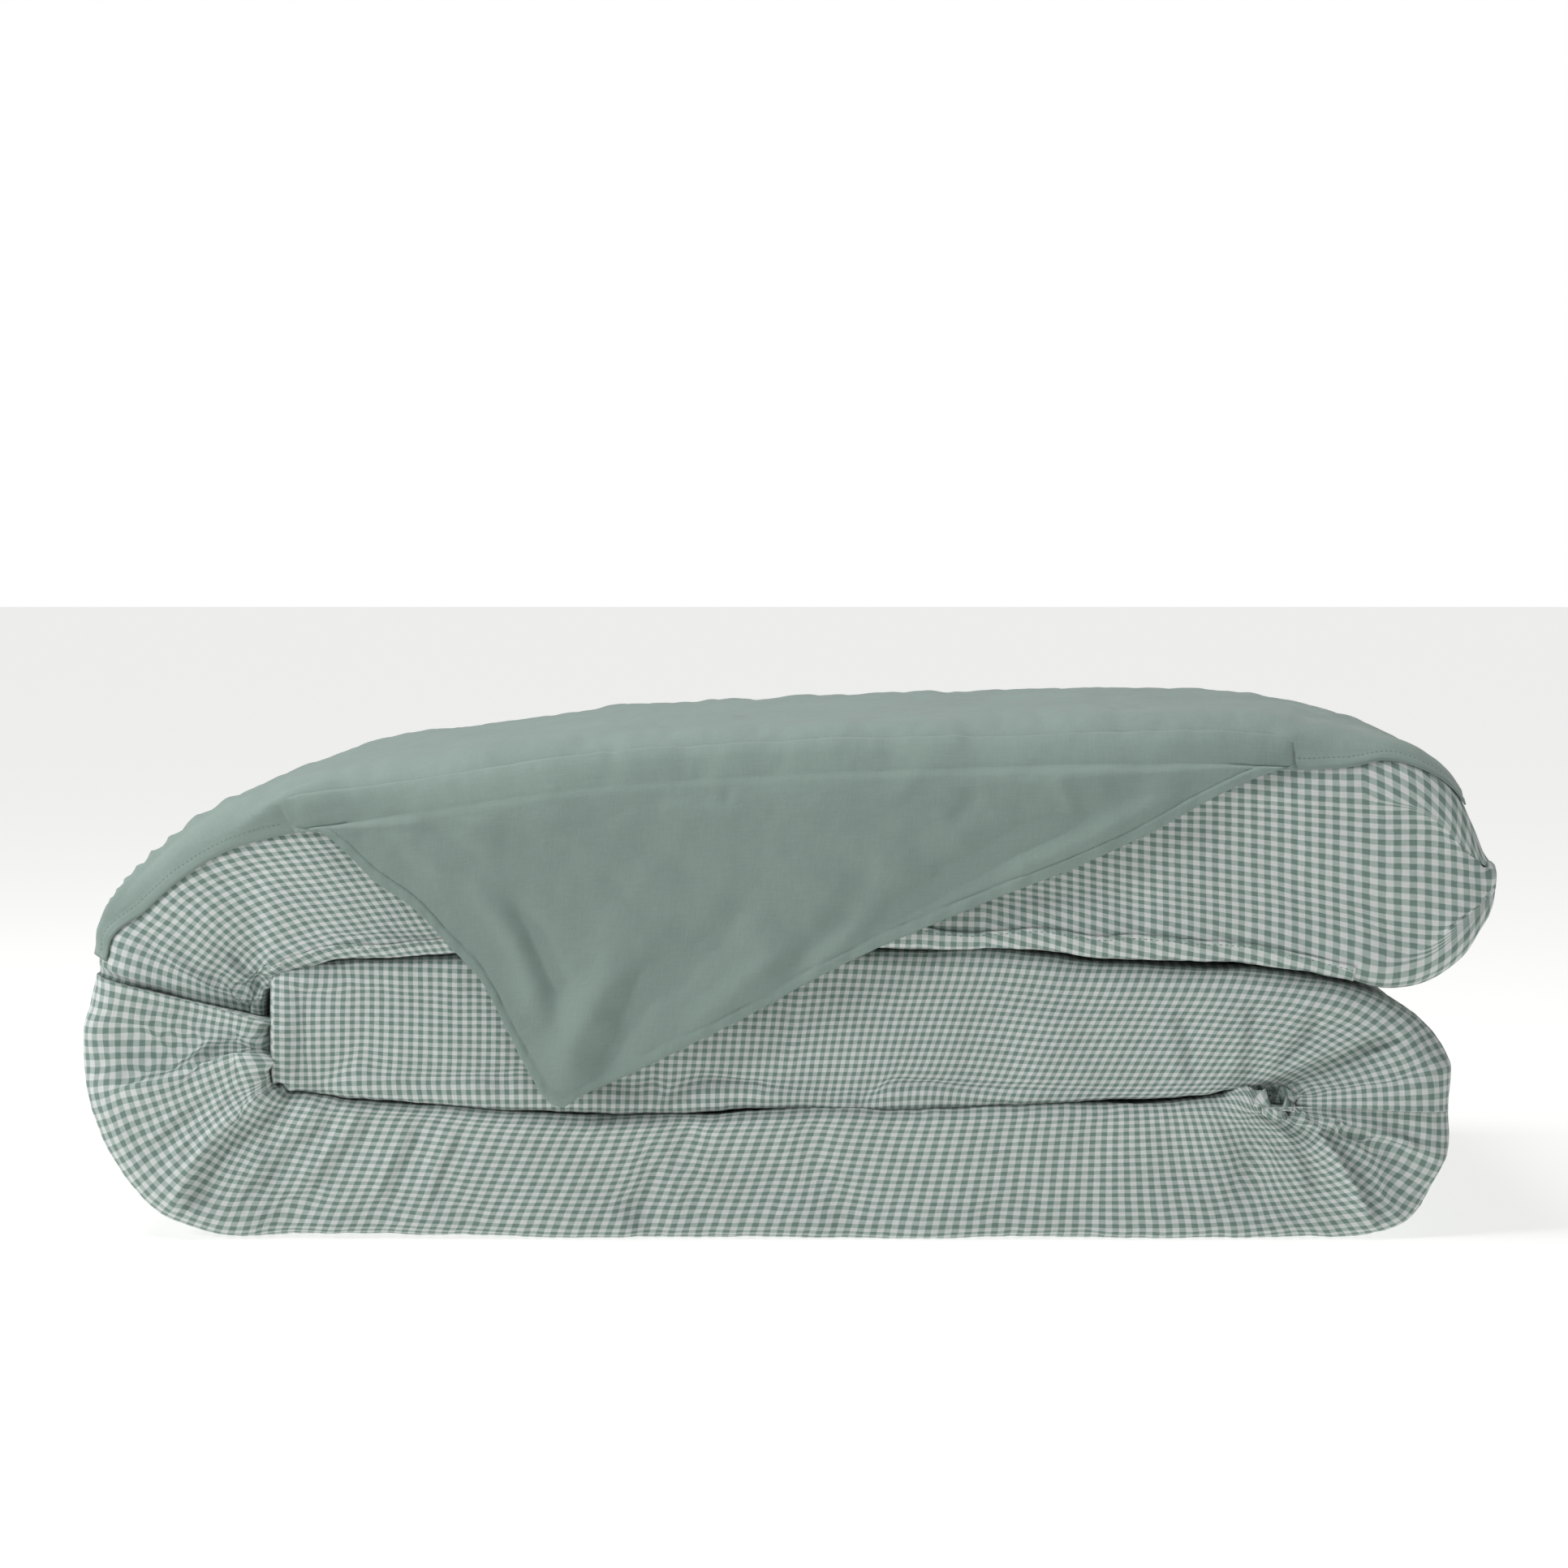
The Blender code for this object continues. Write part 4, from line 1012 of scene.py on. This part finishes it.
class FrontDepth:
    """How far forward the layers and the sheet reach at each place of the front."""

    STEP, LEFT, WIDE, HIGH = 0.003, -0.48, 320, 130

    def __init__(self, grids):
        self.map = np.full((self.WIDE, self.HIGH), 0.5)
        for points in grids:
            p = points.reshape(-1, 3)
            p = p[p[:, 1] < -0.15]
            i = np.clip(((p[:, 0] - self.LEFT) / self.STEP).astype(int), 0, self.WIDE - 1)
            j = np.clip((p[:, 2] / self.STEP).astype(int), 0, self.HIGH - 1)
            np.minimum.at(self.map, (i, j), p[:, 1])
        for axis in (0, 1, 0, 1):
            beside = np.minimum(np.roll(self.map, 1, axis), np.roll(self.map, -1, axis))
            self.map = np.minimum(self.map, beside)
        for axis in (0, 1) * 5:
            self.map = (np.roll(self.map, 1, axis) + 2 * self.map + np.roll(self.map, -1, axis)) / 4

    def at(self, x, z):
        fx = np.clip((x - self.LEFT) / self.STEP - 0.5, 0, self.WIDE - 1.1)
        fz = np.clip(z / self.STEP - 0.5, 0, self.HIGH - 1.1)
        i, j = fx.astype(int), fz.astype(int)
        fx, fz = fx - i, fz - j
        low = self.map[i, j] * (1 - fz) + self.map[i, j + 1] * fz
        high = self.map[i + 1, j] * (1 - fz) + self.map[i + 1, j + 1] * fz
        return low * (1 - fx) + high * fx


FLAP_COLUMNS, FLAP_ROWS, FLAP_UPPER = 250, 88, 12
FLAP_WIDTH, FLAP_THICKNESS = 0.62, 0.0012
HANG_DEPTH, HANG_MORE = -0.288, 0.004  # the free flap's depth, and how much further its tip comes out
FLAP_GAP = 0.0028  # between the flap and the cloth behind it


def flap_grid():
    """Columns that start on the sheet, come over its front edge and fan down to the flap's edge."""
    place = path_length(FLAP_EDGE)
    share = np.linspace(0, 1, FLAP_COLUMNS)
    low = curve(np.column_stack([place, FLAP_EDGE]))(share * place[-1])
    spaced = 0.35 * share + 0.65 * np.interp(share, [0, 0.32, 1], [0, 0.3, 1])
    xs = FLAP_LEFT + (FLAP_RIGHT - FLAP_LEFT) * spaced
    x = sheet_x[:, :1]
    side = ease(x, FLAP_LEFT, FLAP_LEFT + 0.016) * (1 - ease(x, FLAP_RIGHT - 0.016, FLAP_RIGHT))

    def on_sheet(distance):
        lift = -0.0002 + 0.0005 * ease(FLAP_START - distance, 0.0, 0.008)
        lift = lift * side - 0.0013 * (1 - side) * ease(distance, 0.0, 0.006)
        raised = outer_sheet + sheet_n * lift[..., None]
        return np.array([read_rows(distance, across[k], raised[k]) for k in range(len(raised))])

    order = np.argsort(on_sheet(0.0)[:, 0])
    edge_x = on_sheet(0.0)[order, 0]
    upper = np.stack([read_rows(xs, edge_x, on_sheet(distance)[order])
                      for distance in np.linspace(FLAP_START, 0, FLAP_UPPER)], 1)
    start = upper[:, -1:]
    depth = FrontDepth([bottom.points, middle.points, top.points, sheet])
    t = np.linspace(0, 1, FLAP_ROWS)[None, :] ** 1.08
    x = start[..., 0] + (low[:, :1] - start[..., 0]) * t**1.15
    z = start[..., 2] + (low[:, 1:] - start[..., 2]) * t
    fall = start[..., 2] - z
    hang = HANG_DEPTH - HANG_MORE * ease(fall, 0.04, 0.2)
    free = start[..., 1] + (hang - start[..., 1]) * (1 - np.exp(-((np.maximum(fall, 0) / 0.022) ** 1.2)))
    y = np.minimum(free, depth.at(x, z) - FLAP_GAP)
    y = start[..., 1] + (y - start[..., 1]) * ease(fall, -0.001, 0.007)
    grid = np.concatenate([upper[:, :-1], np.stack([x, y, z], -1)], 1)
    t = np.concatenate([np.zeros((FLAP_COLUMNS, FLAP_UPPER - 1)), t + 0 * x], 1)
    return grid, share, t, place[-1]


flap, flap_share, flap_t, flap_length = flap_grid()
flap_x, flap_z = flap[..., 0], flap[..., 2]
to_edge = from_edge(flap[:, ::-1])[:, ::-1]
# The flap's soft folds: a line of places, the height (a valley is below zero) and the width.
FLAP_FOLDS = [
    ([(0.03, 0.185), (0.074, 0.209), (0.117, 0.235), (0.152, 0.25), (0.191, 0.267), (0.23, 0.284)],
     -0.0052, 0.011),
    ([(0.125, 0.222), (0.152, 0.235), (0.182, 0.248), (0.21, 0.262), (0.245, 0.279)], 0.0032, 0.0075),
    ([(-0.079, 0.15), (-0.056, 0.176), (-0.037, 0.196), (-0.02, 0.215)], -0.0034, 0.01),
    ([(-0.066, 0.129), (-0.035, 0.152), (-0.015, 0.17), (0.000, 0.19)], 0.0034, 0.0085),
    ([(-0.139, 0.088), (-0.133, 0.12), (-0.118, 0.15), (-0.1, 0.18)], 0.0055, 0.0115),
    ([(-0.122, 0.095), (-0.104, 0.128), (-0.084, 0.162), (-0.062, 0.192)], -0.0048, 0.01),
    ([(-0.176, 0.222), (-0.156, 0.189), (-0.143, 0.16), (-0.1405, 0.125)], -0.004, 0.0085),
    ([(-0.2, 0.225), (-0.17, 0.19), (-0.157, 0.16), (-0.149, 0.13)], 0.0032, 0.0075),
    ([(-0.004, 0.158), (0.016, 0.182), (0.035, 0.203), (0.05, 0.225)], -0.0032, 0.0095),
    ([(0.01, 0.165), (0.035, 0.188), (0.055, 0.205)], 0.0026, 0.0065),
    ([(-0.0368, 0.291), (-0.0375, 0.28), (-0.0392, 0.266)], -0.0012, 0.0035),
    ([(0.117, 0.277), (0.108, 0.268), (0.098, 0.257)], -0.0016, 0.006),
    ([(0.165, 0.286), (0.172, 0.272), (0.176, 0.262)], 0.0018, 0.005),
    ([(-0.245, 0.256), (-0.222, 0.235), (-0.205, 0.215)], 0.002, 0.007),
    ([(-0.225, 0.262), (-0.2, 0.24), (-0.186, 0.222)], -0.0018, 0.008),
]


def soft_folds(x, z, lines):
    """Ridges and valleys along lines, each one fading out at its ends."""
    total = np.zeros_like(x)
    for points, height, width in lines:
        p = np.array(points, float)
        place = path_length(p)
        share = np.linspace(0, 1, 40)
        line = read_rows(share * place[-1], place, p)
        fade = ease(share, 0.0, 0.25) * (1 - ease(share, 0.65, 1.0))
        near = np.hypot(x[..., None] - line[:, 0], z[..., None] - line[:, 1])
        total += height * (np.exp(-((near / width) ** 2)) * fade).max(-1)
    return total


push = soft_folds(flap_x, flap_z, FLAP_FOLDS)
slant = noise((flap_x + 1.9 * flap_z) / 0.034, (flap_z - 0.5 * flap_x) / 0.16, 81)
push += 0.0012 * slant * ease(to_edge, 0.0, 0.05)
push += 0.0007 * noise(flap_x / 0.021, flap_z / 0.028, 82)
push += 0.00025 * noise(flap_x / 0.008, flap_z / 0.008, 83)
push *= ease(flap_t, 0.0, 0.1)
pucker = noise(flap_share[:, None] * flap_length / 0.006, to_edge / 0.012, 84)
flap_hem = hem_relief(to_edge, 0.001, 0.0007) + 0.0005 * pucker * (1 - ease(to_edge, 0.007, 0.012))
floating = np.maximum(push + 0.0022 * ease(flap_t, 0.0, 0.15), -0.001)
flap[..., 1] -= floating + flap_hem * ease(flap_t, 0.03, 0.12)
flap_down = from_edge(flap)
flap_u = flap_share[:, None] * FLAP_WIDTH + 0 * flap_down
piece_flap = sheet_piece("corner_flap_sheet", flap, flap_u, flap_down,
                         FLAP_THICKNESS, SAGE,
                         ["corner_flap_panel", "corner_flap_left_hem", "corner_flap_right_hem"])
# The flap's first row, where it leaves the sheet, keeps a sharp edge.
sharp = piece_flap.data.attributes.new("sharp_edge", "BOOLEAN", "EDGE")
for k, edge in enumerate(piece_flap.data.edges):
    if all(v < flap.shape[0] * flap.shape[1] and v % flap.shape[1] == 0 for v in edge.vertices):
        sharp.data[k].value = True
edge_columns = list(range(3, len(flap) - 3))
line = hem_line(flap[:, ::-1], to_edge[:, ::-1], edge_columns)
flap_stitches = stitches("corner_flap_stitches", line, normals(flap, False)[edge_columns, -4], None)
for piece in (piece_flap, flap_stitches):
    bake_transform(piece)


# ---- the opening and label on the back


BACK_THICKNESS, BACK_STITCH_STEP = 0.0009, 0.004


def back_sheet(name, node, material, body, seed, hem):
    """A flat cloth on the back, over its CAD node's own box, with a doubled and stitched edge."""
    low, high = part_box(node)
    columns, rows = max(8, int((high.x - low.x) / 0.0024)), max(8, int((high.z - low.z) / 0.0016))
    x, z = np.meshgrid(np.linspace(high.x, low.x, columns), np.linspace(low.z, high.z, rows), indexing="ij")
    edge = np.minimum(np.minimum(x - low.x, high.x - x), np.minimum(z - low.z, high.z - z))
    y = high.y + 0.00035 * noise(x / 0.016, z / 0.012, seed) + 0.0002 * noise(x / 0.006, z / 0.02, seed + 1)
    y += hem_relief(edge, 0.0004, 0.0003, hem, 0.0008, 0.0006, 0.0008)
    piece = sheet_piece(name, np.stack([x, y, z], -1), x, z, BACK_THICKNESS, material, [node],
                        body)
    x0, x1, z0, z1 = high.x - hem, low.x + hem, high.z - hem, low.z + hem
    line = []
    for a, b in (((x0, z0), (x1, z0)), ((x1, z0), (x1, z1)), ((x1, z1), (x0, z1)), ((x0, z1), (x0, z0))):
        steps = max(2, int(math.dist(a, b) / BACK_STITCH_STEP))
        for f in np.arange(steps) / steps:
            line.append((a[0] + (b[0] - a[0]) * f, high.y + 0.0001, a[1] + (b[1] - a[1]) * f))
    sewn = stitches(name + "_stitches", line, np.tile([0.0, 1.0, 0.0], (len(line), 1)), body)


back_sheet("opening_under_cloth", "opening_under_ply", SAGE, "top_layer", 51, 0.004)
back_sheet("opening_flap_cloth", "opening_flap", GINGHAM, "opening_flap", 53, 0.0045)
back_sheet("care_label_cloth", "care_label", LABEL, "care_label", 55, 0.0025)

for node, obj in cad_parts.items():
    if not obj.hide_render:
        obj.data.materials.clear()
        obj.data.materials.append(STUD if node.startswith("press_") else TAPE)


# ---- stage, light and camera

FLOOR_SIZE, FLOOR_HEIGHT = 30.0, -0.0005
pale = Nodes("pale_floor", 0.9, specular=0.1)
for socket, value in (("Base Color", (0.42, 0.42, 0.41, 1)), ("Emission Color", (1.0, 1.0, 0.985, 1)),
                      ("Emission Strength", 0.72)):
    pale.shader.inputs[socket].default_value = value
corners = [(x * FLOOR_SIZE, y * FLOOR_SIZE, FLOOR_HEIGHT) for x, y in ((-1, -1), (1, -1), (1, 1), (-1, 1))]
new_piece("floor", corners, [(0, 1, 2, 3)], pale.material)


def aim(obj, place, target):
    obj.location = place
    obj.rotation_euler = (Vector(target) - Vector(place)).to_track_quat("-Z", "Y").to_euler()


def area_light(name, place, target, size, power):
    data = bpy.data.lights.new(name, "AREA")
    data.energy, data.size = power, size
    aim(add_object(name, data), place, target)


world = bpy.data.worlds.new("studio")
bpy.context.scene.world = world
world.use_nodes = True
# The background looks white, and lights the object more softly than it looks.
studio = world.node_tree
soft, white = studio.nodes["Background"], studio.nodes.new("ShaderNodeBackground")
for node, level in ((soft, 0.29), (white, 1.0)):
    node.inputs[0].default_value, node.inputs[1].default_value = (1, 1, 1, 1), level
choose, seen = studio.nodes.new("ShaderNodeMixShader"), studio.nodes.new("ShaderNodeLightPath")
for socket, output in enumerate((seen.outputs["Is Camera Ray"], soft.outputs[0], white.outputs[0])):
    studio.links.new(output, choose.inputs[socket])
studio.links.new(choose.outputs[0], studio.nodes["World Output"].inputs[0])
area_light("overhead", (-0.8, -0.2, 2.6), (-0.1, 0, 0), 1.6, 52)
area_light("key", (-2.5, -1.6, 1.5), (0, 0, 0.15), 0.8, 34)

SENSOR, CAMERA_DISTANCE, VIEW_WIDTH = 36, 3.0, 0.966
camera_data = bpy.data.cameras.new("camera")
camera_data.sensor_width, camera_data.lens = SENSOR, SENSOR * CAMERA_DISTANCE / VIEW_WIDTH
camera = add_object("camera", camera_data)
aim(camera, (-0.003, -3.28, 0.43), (-0.003, -0.28, 0.282))
bpy.context.scene.camera = camera
bpy.context.scene.view_settings.view_transform = "Standard"
